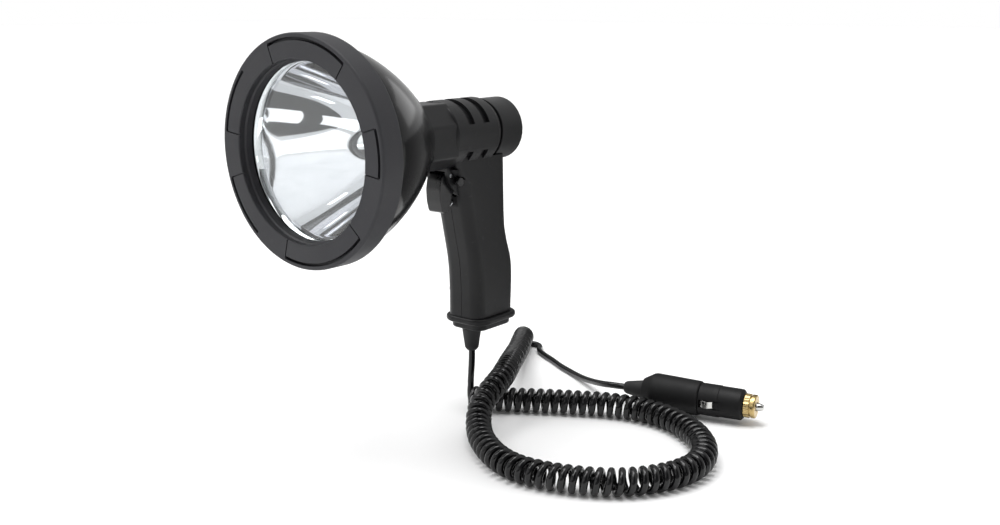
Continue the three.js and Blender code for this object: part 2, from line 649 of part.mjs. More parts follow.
const springZ = bladeTop - BLADE_LENGTH * SPRING_DROP_SHARE;
const springFront = bladeFront + BLADE_DEPTH * SPRING_FRONT_SHARE;
const springSeatBack = pocketLowBack + SPRING_BORE_DEPTH;
const springSeatTop = springZ + SPRING_BORE_RADIUS + CLEARANCE;
const springSeatBottom = springZ - SPRING_BORE_RADIUS - SHELL_WALL;
const switchTop = pocketTop - SWITCH_HEADROOM;
const switchBottom = springSeatTop + SWITCH_FOOTROOM;
const lockPlace = [triggerPivot[0] + LOCK_SETBACK, triggerPivot[1] - LOCK_DROP];
const lockEnd = pocketHalfWidth + LOCK_TIP_PLAY;

// Screws, base and strain relief
const screwReach = GRIP_HALF_WIDTH * SCREW_REACH_SHARE;
const screwSeat = SCREW_SINK + SCREW_HEAD_HEIGHT + CLEARANCE - GRIP_HALF_WIDTH;
const shellScrews = SHELL_SCREW_SHARES.map(([back, down]) =>
  [gripFront + back * GRIP_DEPTH, gripTop - down * GRIP_LENGTH]);
const baseHalfWidth = GRIP_HALF_WIDTH + BASE_SIDE_LIP;
const baseFront = footFront - BASE_FRONT_LIP;
const baseRear = footRear + BASE_REAR_LIP;
const baseTop = gripBottom - CLEARANCE;
const flangeBottom = baseTop - BASE_FLANGE;
const baseBottom = flangeBottom - BASE_FOOT;
const baseScrewX = GRIP_HALF_WIDTH - BASE_SCREW_INSET;
const baseScrewY = footRear - BASE_SCREW_SETBACK;
const baseScrewTop = gripBottom + BASE_SCREW_HEIGHT;
const baseScrewSeat = baseBottom + SCREW_SINK + SCREW_HEAD_HEIGHT + CLEARANCE;
const baseBossTop = gripBottom + BASE_BOSS_HEIGHT;
const baseBossBottom = baseTop + BASE_SPIGOT_HEIGHT + CLEARANCE;
const cordExitY = footFront + CORD_EXIT_SETBACK;
const reliefTop = baseTop + CLEARANCE + RELIEF_FLANGE_HEIGHT;
const reliefEnd = baseBottom - CLEARANCE - RELIEF_LENGTH;
const reliefTip = reliefEnd - RELIEF_TIP;
const cordStart = [0, cordExitY, reliefTip - CLEARANCE];
const fromCordStart = (points) => points.map((point) => point.map((value, axis) => value + cordStart[axis]));

const lamp = new THREE.Group();
lamp.position.set(0, -gripFront - HOLD_SETBACK, HOLD_DROP - gripTop);

// The bezel: a deep moulded ring with a stepped opening, slots behind its lip and seams across its face
function bezelRing() {
  const ring = turned([
    [openingRadius, LENS_SETBACK], [pocketRadius, LENS_SETBACK], [pocketRadius, bezelSeat],
    [skirtRadius, bezelSeat], [skirtRadius, RIM_DEPTH], [HEAD_RADIUS - EDGE_BREAK / 2, RIM_DEPTH],
    [HEAD_RADIUS, RIM_DEPTH - EDGE_BREAK / 2], [HEAD_RADIUS, EDGE_BREAK], [HEAD_RADIUS - EDGE_BREAK, 0],
    [faceInnerRadius, 0], [faceInnerRadius, LIP_STEP_SETBACK],
    [faceInnerRadius - LIP_STEP_WIDTH, LIP_STEP_SETBACK + LIP_STEP_WIDTH]], HEAD_SIDES);
  const [slotInner, slotOuter] = [slotRadius - SLOT_WIDTH / 2, slotRadius + SLOT_WIDTH / 2];
  const slots = SLOT_ARCS_DEG.map(([from, to]) =>
    arcBar(slotInner, slotOuter, -OVERRUN, SLOT_DEPTH, from, to));
  const seams = SEAM_ANGLES_DEG.map((angle) => {
    const [inner, outer] = [faceInnerRadius - OVERRUN, slotRadius];
    const bar = new THREE.BoxGeometry(outer - inner, SEAM_DEPTH + OVERRUN, SEAM_WIDTH);
    bar.translate((inner + outer) / 2, (SEAM_DEPTH - OVERRUN) / 2, 0);
    return solid(bar.rotateY(-radians(angle)));
  });
  return cut(ring, ...slots, ...seams);
}

// The flat front glass
function lens() {
  return turned([
    [0, lensFront], [lensRadius - LENS_CHAMFER, lensFront], [lensRadius, lensFront + LENS_CHAMFER],
    [lensRadius, lensBack], [0, lensBack]], HEAD_SIDES);
}

// The rubber ring between the glass and the reflector's flange
function lensGasket() {
  return turned([
    [lensRadius - GASKET_WIDTH, gasketFront], [lensRadius, gasketFront],
    [lensRadius, gasketBack], [lensRadius - GASKET_WIDTH, gasketBack]], HEAD_SIDES);
}

// The reflector: a thin parabolic bowl with a flange at its mouth and a hole for the light engine
function reflector() {
  const inside = [];
  const outside = [];
  for (let k = 0; k <= REFLECTOR_RINGS; k += 1) {
    const radius = THREE.MathUtils.lerp(mouthRadius, REFLECTOR_HOLE_RADIUS, k / REFLECTOR_RINGS);
    const y = apexY - radius ** 2 / parabola;
    inside.push([radius, y]);
    if (k % 3 === 1) outside.push([radius + REFLECTOR_WALL, y + REFLECTOR_WALL / 2]);
  }
  return turned([
    ...inside, ...outside.reverse(), [mouthRadius + REFLECTOR_WALL, flangeBack],
    [lensRadius, flangeBack], [lensRadius, mouthY]], HEAD_SIDES);
}

// The outline of the bowl behind the bezel: its outer radius at a place on the axis
function bowlRadius(y) {
  const share = (y - RIM_DEPTH) / (bowlBack - RIM_DEPTH);
  return ROUND_RADIUS + (bowlFrontRadius - ROUND_RADIUS) * (1 - Math.max(share, 0) ** BOWL_CURVE_SHARE);
}

// The glossy bowl: rim, shelf for the reflector, curved wall, back wall and a spigot for the barrel
const bowlFront = bezelSeat + CLEARANCE;
const bowlInnerBack = bowlBack - BACK_WALL;
const spigotBack = bowlBack + SPIGOT_LENGTH;
const catchFront = bowlBack + CATCH_SETBACK;
function headBowl() {
  const rimRadius = skirtRadius - CLEARANCE;
  const outside = [];
  const inside = [];
  for (let k = 0; k <= BOWL_RINGS; k += 1) {
    const y = THREE.MathUtils.lerp(RIM_DEPTH + CLEARANCE, bowlBack, k / BOWL_RINGS);
    outside.push([bowlRadius(y), y]);
    if (k % 2 === 0 && y > shelfBack && y < bowlInnerBack - BOWL_WALL) {
      inside.push([bowlRadius(y) - BOWL_WALL, y]);
    }
  }
  const catchBack = catchFront + CATCH_WIDTH;
  return turned([
    [rimRadius, bowlFront], ...outside,
    [headSpigotRadius, bowlBack], [headSpigotRadius, catchFront], [catchRadius, catchFront],
    [catchRadius, catchBack], [headSpigotRadius, catchBack], [headSpigotRadius, spigotBack],
    [headSpigotBore, spigotBack], [headSpigotBore, bowlInnerBack],
    [bowlRadius(bowlInnerBack) - BOWL_WALL, bowlInnerBack], ...inside.reverse(),
    [bowlRadius(shelfBack) - BOWL_WALL, shelfBack], [shelfRadius, shelfBack], [shelfRadius, shelfFront],
    [pocketRadius, shelfFront], [pocketRadius, bowlFront]], HEAD_SIDES);
}

// The aluminium heat sink: pedestal, flange on the bowl's back wall and fins down the barrel
const sinkFlangeBack = bowlInnerBack - CLEARANCE;
const sinkFlangeFront = sinkFlangeBack - SINK_FLANGE_THICKNESS;
function heatSink() {
  const outline = [];
  const pitch = 2 * Math.PI / FIN_COUNT;
  for (let k = 0; k < FIN_COUNT; k += 1) {
    const half = pitch * FIN_SHARE / 2;
    const corners = [
      [sinkCoreRadius, -half], [sinkRadius, -half / 2], [sinkRadius, half / 2], [sinkCoreRadius, half]];
    for (const [radius, turn] of corners) {
      const angle = k * pitch + turn;
      outline.push([radius * Math.cos(angle), radius * Math.sin(angle)]);
    }
  }
  const fins = beamPlate(outline, sinkFlangeBack - CLEARANCE, sinkBack);
  const flange = rod(sinkFlangeRadius, sinkFlangeFront, sinkFlangeBack, BARREL_SIDES);
  const pedestal = rod(pedestalRadius, pedestalFront, sinkFlangeFront + OVERRUN, PLUG_SIDES);
  const bores = [-LED_WIRE_OFFSET, LED_WIRE_OFFSET].map((x) =>
    rod(LED_WIRE_RADIUS + LED_WIRE_PLAY, pedestalFront - OVERRUN, sinkBack + OVERRUN, SMALL_SIDES, x));
  return cut(joined(fins, flange, pedestal), ...bores);
}

// The emitter: a square base and a dome whose middle lies at the reflector's focus
function ledEmitter() {
  const half = LED_BASE_SIZE / 2;
  const base = block(-half, half, ledSeat, ledBack, -half, half);
  const dome = Array.from({ length: DOME_STEPS + 1 }, (_, k) => {
    const angle = k / DOME_STEPS * Math.PI / 2;
    return [LED_DOME_RADIUS * Math.sin(angle), ledSeat - LED_DOME_RADIUS * Math.cos(angle)];
  });
  return joined(base, turned([...dome, [0, ledSeat + LED_BASE_HEIGHT / 2]], SMALL_SIDES));
}

// The driver board across the rear bore, with an inductor above and a capacitor below
function driverBoard() {
  const level = DRIVER_THICKNESS / 2;
  const half = rearBoreRadius - CLEARANCE - level;
  const board = block(-half, half, driverFront, driverFront + driverLength, -level, level);
  const standing = (radius, height, y, up) => {
    const part = new THREE.CylinderGeometry(radius, radius, height, SMALL_SIDES).rotateX(Math.PI / 2);
    return solid(part.translate(0, y, up * height / 2));
  };
  return joined(board,
    standing(INDUCTOR_RADIUS, INDUCTOR_HEIGHT, driverFront + driverLength / 3, 1),
    standing(CAPACITOR_RADIUS, CAPACITOR_HEIGHT, driverFront + driverLength * 2 / 3, -1));
}

// The grip's skin at a given inset: zero is the outside, the wall is the cavity
function gripSkin(inset, top, bottom) {
  const between = gripRows.map(([z]) => z).filter((z) => z < top - OVERRUN && z > bottom + OVERRUN);
  const steps = inset > 0 ? HOLLOW_CORNER_STEPS : GRIP_CORNER_STEPS;
  return lofted([top, ...between, bottom].map((z) => {
    const [front, rear] = gripEdges(Math.min(Math.max(z, gripBottom), gripTop));
    return roundedRing(GRIP_HALF_WIDTH - inset, front + inset, rear - inset, GRIP_CORNER - inset, z, steps);
  }));
}

// The whole body before it is split: barrel, ribbed rear, neck, grip and the trigger's cheeks
function wholeBody() {
  const right = BARREL_CORNER_SHARES.map(([x, z]) => [x * ROUND_RADIUS, z * ROUND_RADIUS]);
  const left = right.map(([x, z]) => [-x, z]).reverse();
  const barrel = beamPlate([...right, ...left], bowlBack + CLEARANCE, roundFront + OVERRUN);
  const round = turned([
    [0, roundFront - ROUND_CHAMFER], [ROUND_RADIUS - ROUND_CHAMFER, roundFront - ROUND_CHAMFER],
    [ROUND_RADIUS, roundFront], [ROUND_RADIUS, roundBack], [neckRadius, roundBack],
    [neckRadius, neckBack], [0, neckBack]], BARREL_SIDES);
  const neckBlock = lofted([neckBlockBottom, neckBlockTop].map((z) =>
    roundedRing(GRIP_HALF_WIDTH, neckBlockFront + (neckBlockTop - z) / 2, roundBack, NECK_BLOCK_CORNER, z)));
  const grip = gripSkin(0, gripTop, gripBottom);
  const [cheekFront, cheekTop] = [triggerPivot[0] - CHEEK_LEAD, triggerPivot[1] + CHEEK_RISE];
  const cheekOutline = CHEEK_OUTLINE_SHARES.map(([back, down]) =>
    [cheekFront + back * CHEEK_DEPTH, cheekTop - down * CHEEK_LENGTH]);
  const cheeks = sidePlate(cheekOutline, -CHEEK_HALF_WIDTH, CHEEK_HALF_WIDTH);
  const grooves = RIB_GROOVE_START_SHARES.flatMap((share) => {
    const front = roundFront + share * ROUND_LENGTH;
    return [RIB_UPPER_ARC_DEG, ...RIB_LOWER_ARCS_DEG].map(([from, to]) => arcBar(
      ROUND_RADIUS - RIB_GROOVE_DEPTH, ROUND_RADIUS + OVERRUN, front, front + RIB_GROOVE_WIDTH, from, to));
  });
  return joined(cut(joined(barrel, round), ...grooves), neckBlock, grip, cheeks);
}

// Everything that is hollow in the body
function bodyHollows() {
  const [catchStart, catchEnd] = [catchFront - CLEARANCE, catchFront + CATCH_WIDTH + CLEARANCE];
  const bore = turned([
    [0, bowlBack - OVERRUN], [frontBoreRadius, bowlBack - OVERRUN], [frontBoreRadius, catchStart],
    [catchRadius + CLEARANCE, catchStart], [catchRadius + CLEARANCE, catchEnd],
    [frontBoreRadius, catchEnd], [frontBoreRadius, sinkBack],
    [rearBoreRadius, sinkBack], [rearBoreRadius, neckBack + OVERRUN], [0, neckBack + OVERRUN]], BARREL_SIDES);
  const duct = block(-ductHalfWidth, ductHalfWidth, ductFront, ductBack, neckBlockBottom, 0);
  const gripHollow = gripSkin(SHELL_WALL, neckBlockBottom + OVERRUN, gripBottom - OVERRUN);
  const half = pocketHalfWidth;
  const pocket = joined(
    block(-half, half, pocketFront, pocketBack, pocketStepZ, pocketTop),
    block(-half, half, pocketFront, pocketLowBack, pocketBottom, pocketStepZ + OVERRUN));
  return { bore, duct, gripHollow, pocket };
}

// The two moulded halves of the body, split down the middle, with bosses for screws, switch and spring
function bodyHalves() {
  const whole = wholeBody();
  const { bore, duct, gripHollow, pocket } = bodyHollows();
  const inner = GRIP_HALF_WIDTH - SHELL_WALL / 2;
  const screwBosses = shellScrews.map(([y, z]) =>
    crossRod(SCREW_BOSS_RADIUS, -inner, inner, SMALL_SIDES, y, z));
  const switchBack = switchFront + SWITCH_DEPTH;
  const rests = [-1, 1].map((side) => {
    const ends = [side * (SWITCH_HALF_WIDTH + CLEARANCE), side * inner].sort((a, b) => a - b);
    return block(...ends, switchFront + SWITCH_REST_INSET, switchBack - SWITCH_REST_INSET,
      switchBottom + SWITCH_REST_INSET, switchTop - SWITCH_REST_INSET);
  });
  const springSeat = block(
    -inner, inner, pocketLowBack, springSeatBack + SHELL_WALL, springSeatBottom, springSeatTop);
  const baseBosses = [-1, 1].map((side) => {
    const ends = [side * (baseScrewX - BASE_BOSS_HALF), side * inner].sort((a, b) => a - b);
    const [front, back] = [baseScrewY - BASE_BOSS_HALF, baseScrewY + BASE_BOSS_HALF];
    return block(...ends, front, back, baseBossBottom, baseBossTop);
  });
  let body = cut(whole, bore, gripHollow);
  body = joined(body, ...screwBosses, ...rests, springSeat, ...baseBosses);
  body = cut(body, duct, pocket);
  body = joined(body, ...rests);
  const springBore = rod(SPRING_BORE_RADIUS, pocketFront, springSeatBack, SMALL_SIDES, 0, springZ);
  const side = GRIP_HALF_WIDTH + OVERRUN;
  const pinBore = crossRod(TRIGGER_PIN_RADIUS + CLEARANCE, -side, side, SMALL_SIDES, ...triggerPivot);
  const lockBore = crossRod(LOCK_SHANK_RADIUS + CLEARANCE, 0, side, SMALL_SIDES, ...lockPlace);
  const lockWell = crossRod(
    LOCK_HEAD_RADIUS + CLEARANCE, CHEEK_HALF_WIDTH, side, 2 * SMALL_SIDES, ...lockPlace);
  const screwBores = shellScrews.flatMap(([y, z]) => [
    crossRod(SCREW_SHANK_RADIUS + CLEARANCE, -GRIP_HALF_WIDTH, screwReach + CLEARANCE, SMALL_SIDES, y, z),
    crossRod(SCREW_HEAD_RADIUS + CLEARANCE, -side, screwSeat, SMALL_SIDES, y, z)]);
  const baseBores = [-baseScrewX, baseScrewX].map((x) => uprightRod(
    SCREW_SHANK_RADIUS + CLEARANCE, baseBossBottom - OVERRUN, baseScrewTop + CLEARANCE, x, baseScrewY));
  body = cut(body, springBore, pinBore, lockBore, lockWell, ...screwBores, ...baseBores);
  const far = capBack + GRIP_LENGTH;
  const halfSpace = (x0, x1) => block(x0, x1, 0, far, -far, far);
  return [body.intersect(halfSpace(CLEARANCE / 2, far)), body.intersect(halfSpace(-far, -CLEARANCE / 2))];
}

// A pan-head screw with a cross recess, head end at y = 0 and pointing along +Y
function screw(length) {
  const body = turned([
    [0, 0], [SCREW_HEAD_RADIUS - SCREW_SLOT_WIDTH / 2, 0], [SCREW_HEAD_RADIUS, SCREW_SLOT_WIDTH / 2],
    [SCREW_HEAD_RADIUS, SCREW_HEAD_HEIGHT], [SCREW_SHANK_RADIUS, SCREW_HEAD_HEIGHT],
    [SCREW_SHANK_RADIUS, length], [0, length]], SMALL_SIDES);
  const [arm, half] = [SCREW_HEAD_RADIUS * 2 / 3, SCREW_SLOT_WIDTH / 2];
  return cut(body,
    block(-arm, arm, -OVERRUN, SCREW_SLOT_DEPTH, -half, half),
    block(-half, half, -OVERRUN, SCREW_SLOT_DEPTH, -arm, arm));
}

// The screw cap that closes the barrel, and the seal in the groove ahead of it
function rearCap() {
  const spigotRadius = rearBoreRadius - CLEARANCE;
  const corner = [1, 2, 3].map((k) => {
    const angle = k / 4 * Math.PI / 2;
    return [capRadius - CAP_ROUND * (1 - Math.cos(angle)), capBack - CAP_ROUND * (1 - Math.sin(angle))];
  });
  return turned([
    [0, capBack - CAP_WALL], [spigotRadius - CAP_SPIGOT_WALL, capBack - CAP_WALL],
    [spigotRadius - CAP_SPIGOT_WALL, capSpigotFront], [spigotRadius, capSpigotFront],
    [spigotRadius, capFront], [capRadius, capFront], [capRadius, capBack - CAP_ROUND], ...corner,
    [capRadius - CAP_ROUND, capBack], [0, capBack]], BARREL_SIDES);
}

function capSeal() {
  const ringRadius = neckRadius + CLEARANCE + SEAL_RADIUS;
  const centre = (roundBack + neckBack) / 2;
  const profile = Array.from({ length: SEAL_SIDES }, (_, k) => {
    const angle = 2 * Math.PI * k / SEAL_SIDES;
    return [ringRadius + SEAL_RADIUS * Math.cos(angle), centre + SEAL_RADIUS * Math.sin(angle)];
  });
  return turned(profile, BARREL_SIDES);
}

// The trigger: a boss on its pin, a curved blade for the finger and a nose that presses the switch
function trigger() {
  const outline = BLADE_OUTLINE_SHARES.map(([back, down]) =>
    [bladeFront + back * BLADE_DEPTH, bladeTop - down * BLADE_LENGTH]);
  const blade = sidePlate(outline, -TRIGGER_HALF_WIDTH, TRIGGER_HALF_WIDTH);
  const boss = crossRod(
    TRIGGER_BOSS_RADIUS, -TRIGGER_HALF_WIDTH, TRIGGER_HALF_WIDTH, SMALL_SIDES, ...triggerPivot);
  const side = pocketHalfWidth;
  const pinBore = crossRod(TRIGGER_PIN_RADIUS + CLEARANCE, -side, side, SMALL_SIDES, ...triggerPivot);
  const reliefStart = lockEnd - LOCK_TRAVEL - CLEARANCE;
  const relief = crossRod(LOCK_RELIEF_RADIUS, reliefStart, side, SMALL_SIDES, ...lockPlace);
  return cut(joined(blade, boss), pinBore, relief);
}

// The lock button: a round head outside the left cheek and a shank that reaches for the trigger
function lockButton() {
  const headStart = CHEEK_HALF_WIDTH + LOCK_TRAVEL + CLEARANCE;
  const headEnd = headStart + LOCK_HEAD_HEIGHT;
  const head = turned([
    [0, headStart], [LOCK_HEAD_RADIUS, headStart], [LOCK_HEAD_RADIUS, headEnd - LOCK_HEAD_HEIGHT / 3],
    [LOCK_HEAD_RADIUS * 3 / 4, headEnd], [0, headEnd]], SMALL_SIDES);
  const shank = rod(LOCK_SHANK_RADIUS, lockEnd, headStart + CLEARANCE, SMALL_SIDES);
  const aim = new THREE.Matrix4().makeRotationZ(-Math.PI / 2).setPosition(0, ...lockPlace);
  return moved(joined(head, shank), aim);
}

// The snap switch with a recess for its plunger
function triggerSwitch() {
  const switchBack = switchFront + SWITCH_DEPTH;
  const body = block(-SWITCH_HALF_WIDTH, SWITCH_HALF_WIDTH, switchFront, switchBack, switchBottom, switchTop);
  const play = PLUNGER_HALF_WIDTH + CLEARANCE;
  return cut(body, block(-play, play, switchFront - OVERRUN, plungerBack + PLUNGER_TRAVEL + CLEARANCE,
    plungerBottom - CLEARANCE, plungerTop + CLEARANCE));
}

// The base: a flange round the grip's foot, a smaller foot under it and a spigot inside the shells
function gripBase() {
  const ringAt = (inset, z) => roundedRing(
    baseHalfWidth - inset, baseFront + inset, baseRear - inset, BASE_CORNER - inset, z);
  const flange = lofted([
    ringAt(BASE_FLANGE_ROUND, flangeBottom), ringAt(0, flangeBottom + BASE_FLANGE_ROUND),
    ringAt(0, baseTop - BASE_FLANGE_ROUND), ringAt(BASE_FLANGE_ROUND, baseTop)]);
  const foot = lofted([
    ringAt(BASE_FOOT_INSET + BASE_FLANGE_ROUND, baseBottom),
    ringAt(BASE_FOOT_INSET, baseBottom + BASE_FLANGE_ROUND),
    ringAt(BASE_FOOT_INSET, flangeBottom + OVERRUN)]);
  const wallAt = (inset, bottom, top) => {
    const [half, front, rear] = [GRIP_HALF_WIDTH - inset, footFront + inset, footRear - inset];
    const corner = GRIP_CORNER - inset;
    return lofted([bottom, top].map((z) => roundedRing(half, front, rear, corner, z, HOLLOW_CORNER_STEPS)));
  };
  const outerInset = SHELL_WALL + 2 * CLEARANCE;
  const spigotTop = baseTop + BASE_SPIGOT_HEIGHT;
  const spigot = wallAt(outerInset, baseTop - OVERRUN, spigotTop);
  const spigotHollow = wallAt(outerInset + BASE_SPIGOT_WALL, baseTop, spigotTop + OVERRUN);
  const [low, high] = [baseBottom - OVERRUN, baseTop + OVERRUN];
  const cordBore = uprightRod(RELIEF_NECK_RADIUS + CLEARANCE, low, high, 0, cordExitY, PLUG_SIDES);
  const screwBores = [-baseScrewX, baseScrewX].flatMap((x) => [
    uprightRod(SCREW_SHANK_RADIUS + CLEARANCE, low, high, x, baseScrewY),
    uprightRod(SCREW_HEAD_RADIUS + CLEARANCE, low, baseScrewSeat, x, baseScrewY)]);
  const reliefSeat = uprightRod(
    RELIEF_FLANGE_RADIUS + CLEARANCE, baseTop, spigotTop + OVERRUN, 0, cordExitY, PLUG_SIDES);
  return cut(joined(flange, foot, cut(spigot, spigotHollow)), cordBore, reliefSeat, ...screwBores);
}

// The rubber strain relief: a flange inside the base, a neck through it and a taper below
function strainRelief() {
  const turnedRelief = turned([
    [0, reliefTip], [RELIEF_TIP_RADIUS, reliefTip], [RELIEF_END_RADIUS, reliefEnd],
    [RELIEF_TOP_RADIUS + CLEARANCE, baseBottom - CLEARANCE], [RELIEF_NECK_RADIUS, baseBottom - CLEARANCE],
    [RELIEF_NECK_RADIUS, baseTop + CLEARANCE], [RELIEF_FLANGE_RADIUS, baseTop + CLEARANCE],
    [RELIEF_FLANGE_RADIUS, reliefTop], [0, reliefTop]], PLUG_SIDES);
  return moved(turnedRelief, new THREE.Matrix4().makeRotationX(Math.PI / 2).setPosition(0, cordExitY, 0));
}

// The centre line of the wound cable: a stub, the curls about the middle line, and a stub
function curlCentres() {
  const points = fromCordStart(CURL_LINE).map((point) => new THREE.Vector3(...point));
  const line = new THREE.CatmullRomCurve3(points, false, "centripetal");
  line.arcLengthDivisions = CURL_LINE.length * CURL_STEPS;
  const curls = CURL_COUNT + LAST_CURL_SHARE;
  const steps = curls * CURL_STEPS;
  const centres = [];
  const outwards = [];
  for (let i = 0; i <= steps; i += 1) {
    const point = line.getPointAt(i / steps);
    const along = line.getTangentAt(i / steps);
    const side = new THREE.Vector3(-along.y, along.x, 0).normalize();
    const up = new THREE.Vector3().crossVectors(along, side);
    const angle = -2 * Math.PI * i / CURL_STEPS;
    const outward = side.multiplyScalar(Math.cos(angle)).addScaledVector(up, Math.sin(angle));
    outwards.push(outward);
    centres.push(point.addScaledVector(outward, CURL_RADIUS));
  }
  const stub = 2 * CABLE_RADIUS;
  const first = centres[0].clone();
  centres.unshift(first.clone().setZ(first.z + stub));
  const lastOutward = new THREE.Vector3().subVectors(centres.at(-1), line.getPointAt(1));
  const exit = lastOutward.cross(line.getTangentAt(1)).normalize();
  centres.push(centres.at(-1).clone().addScaledVector(exit, stub));
  outwards.unshift(outwards[0]);
  outwards.push(outwards.at(-1));
  return { centres, outwards, exit, length: line.getLength() };
}

// The least distance between the skins of curls that are not neighbours along the cable
function leastGap(centres) {
  let least = Infinity;
  const apart = CURL_STEPS - 2;
  for (let i = 0; i < centres.length - 1; i += 1) {
    const middle = new THREE.Line3(centres[i], centres[i + 1]);
    for (let j = i + apart; j < centres.length; j += 1) {
      const nearest = middle.closestPointToPoint(centres[j], true, new THREE.Vector3());
      least = Math.min(least, nearest.distanceTo(centres[j]) - 2 * CABLE_RADIUS);
    }
  }
  return least;
}

const curls = curlCentres();
console.log("curly cord: line " + curls.length.toFixed(1) + " mm");
console.log("curly cord: least gap " + leastGap(curls.centres).toFixed(2) + " mm");
const curlTop = curls.centres[0];
const tailStart = curls.centres.at(-1).clone().addScaledVector(curls.exit, CLEARANCE);

// Builds the pieces in the order in which they go together
place(lamp, "bezel_ring", bezelRing(), BEZEL_ABS);
place(lamp, "lens", lens(), GLASS);
place(lamp, "lens_gasket", lensGasket(), RUBBER);
place(lamp, "reflector", reflector(), MIRROR);
place(lamp, "head_bowl", headBowl(), BOWL_ABS);
place(lamp, "heat_sink", heatSink(), ALUMINIUM);
place(lamp, "led_board", rod(pedestalRadius, ledBoardFront, ledBoardBack, PLUG_SIDES), BOARD_WHITE);
place(lamp, "led_emitter", ledEmitter(), PHOSPHOR);
const ledWire = (x) => rod(LED_WIRE_RADIUS, pedestalFront, driverFront - CLEARANCE, SMALL_SIDES, x);
place(lamp, "led_wire_red", ledWire(-LED_WIRE_OFFSET), RED_PVC);
place(lamp, "led_wire_black", ledWire(LED_WIRE_OFFSET), CABLE_PVC);
place(lamp, "driver_board", driverBoard(), BOARD_GREEN);

const [leftShell, rightShell] = bodyHalves();
place(lamp, "body_shell_left", leftShell, SHELL_ABS);
place(lamp, "body_shell_right", rightShell, SHELL_ABS);
shellScrews.forEach(([y, z], i) => {
  const head = -GRIP_HALF_WIDTH + SCREW_SINK;
  const aim = new THREE.Matrix4().makeRotationZ(-Math.PI / 2).setPosition(head, y, z);
  place(lamp, "shell_screw_" + (i + 1), moved(screw(screwReach - head), aim), BLACK_STEEL);
});
place(lamp, "rear_cap", rearCap(), SHELL_ABS);
place(lamp, "rear_cap_seal", capSeal(), RUBBER);

place(lamp, "trigger", trigger(), CONTROL_ABS);
const pinHalf = CHEEK_HALF_WIDTH - CLEARANCE;
const triggerPin = crossRod(TRIGGER_PIN_RADIUS, -pinHalf, pinHalf, SMALL_SIDES, ...triggerPivot);
place(lamp, "trigger_pin", triggerPin, STEEL);
const springBack = springSeatBack - CLEARANCE;
place(lamp, "trigger_spring", spring(
  SPRING_COIL_RADIUS, SPRING_WIRE_RADIUS, SPRING_TURNS, springFront, springBack, 0, springZ), STEEL);
place(lamp, "lock_button", lockButton(), CONTROL_ABS);
place(lamp, "trigger_switch", triggerSwitch(), CONTROL_ABS);
place(lamp, "switch_plunger", block(
  -PLUNGER_HALF_WIDTH, PLUNGER_HALF_WIDTH, plungerTip, plungerBack, plungerBottom, plungerTop), BOARD_WHITE);

place(lamp, "grip_base", gripBase(), SHELL_ABS);
[-baseScrewX, baseScrewX].forEach((x, i) => {
  const head = baseBottom + SCREW_SINK;
  const aim = new THREE.Matrix4().makeRotationX(Math.PI / 2).setPosition(x, baseScrewY, head);
  place(lamp, "base_screw_" + (i + 1), moved(screw(baseScrewTop - head), aim), BLACK_STEEL);
});
place(lamp, "strain_relief", strainRelief(), RUBBER);

// The two supply wires and the switched wire inside the grip
const inGrip = (rows) => rows.map(([x, back, down]) =>
  [x * GRIP_HALF_WIDTH, gripFront + back * GRIP_DEPTH, gripTop - down * GRIP_LENGTH]);
const wireTop = reliefTop + CLEARANCE;
const spread = WIRE_SPREAD_SHARE * GRIP_HALF_WIDTH;
const driverUnderside = -DRIVER_THICKNESS / 2 - CLEARANCE;
const switchWireX = -WIRE_SWITCH_SHARE * GRIP_HALF_WIDTH;
const supplyWireY = springSeatBack + SHELL_WALL + CLEARANCE + WIRE_RADIUS;
const switchFoot = switchBottom - CLEARANCE;
const blackRows = inGrip(SUPPLY_BLACK_SHARES);
const switchedRows = inGrip(SWITCHED_SHARES);
const supplyRedRoute = [
  [-spread, cordExitY, wireTop], ...inGrip(SUPPLY_RED_SHARES),
  [switchWireX - WIRE_RADIUS / 2, supplyWireY + WIRE_SWITCH_BEND, switchFoot - WIRE_SWITCH_DROP],
  [switchWireX, supplyWireY, switchFoot - WIRE_SWITCH_RUN], [switchWireX, supplyWireY, switchFoot]];
const supplyBlackRoute = [
  [spread, cordExitY, wireTop], ...blackRows, [blackRows.at(-1)[0], blackRows.at(-1)[1], driverUnderside]];
const switchedRoute = [
  [switchWireX, switchFront + SWITCHED_START_SHARE * SWITCH_DEPTH, switchTop + CLEARANCE], ...switchedRows,
  [switchedRows.at(-1)[0], switchedRows.at(-1)[1], driverUnderside]];
place(lamp, "supply_wire_red", cable(supplyRedRoute, WIRE_RADIUS, WIRE_SIDES, SUPPLY_STEPS), RED_PVC);
place(lamp, "supply_wire_black", cable(supplyBlackRoute, WIRE_RADIUS, WIRE_SIDES, SUPPLY_STEPS), CABLE_PVC);
place(lamp, "switched_wire", cable(switchedRoute, WIRE_RADIUS, WIRE_SIDES, SWITCHED_STEPS), RED_PVC);

// The cord: straight out of the strain relief, wound into curls, and straight again into the plug
const leadRoute = [cordStart, ...fromCordStart(LEAD_ROUTE), [curlTop.x, curlTop.y, curlTop.z + CLEARANCE]];
const tailRoute = [tailStart.toArray(), ...fromCordStart(TAIL_ROUTE)];
place(lamp, "cord_lead", cable(leadRoute, CABLE_RADIUS, CABLE_SIDES, LEAD_STEPS), CABLE_PVC);
place(lamp, "curly_cord", woundTube(curls.centres, curls.outwards, CABLE_RADIUS, CURL_SIDES), CABLE_PVC);
place(lamp, "cord_tail", cable(tailRoute, CABLE_RADIUS, CABLE_SIDES, TAIL_STEPS), CABLE_PVC);

// The plug and what is in it
const plug = new THREE.Group();
plug.position.set(...fromCordStart([PLUG_PLACE])[0]);
plug.rotation.z = radians(PLUG_TURN_DEG);
lamp.add(plug);

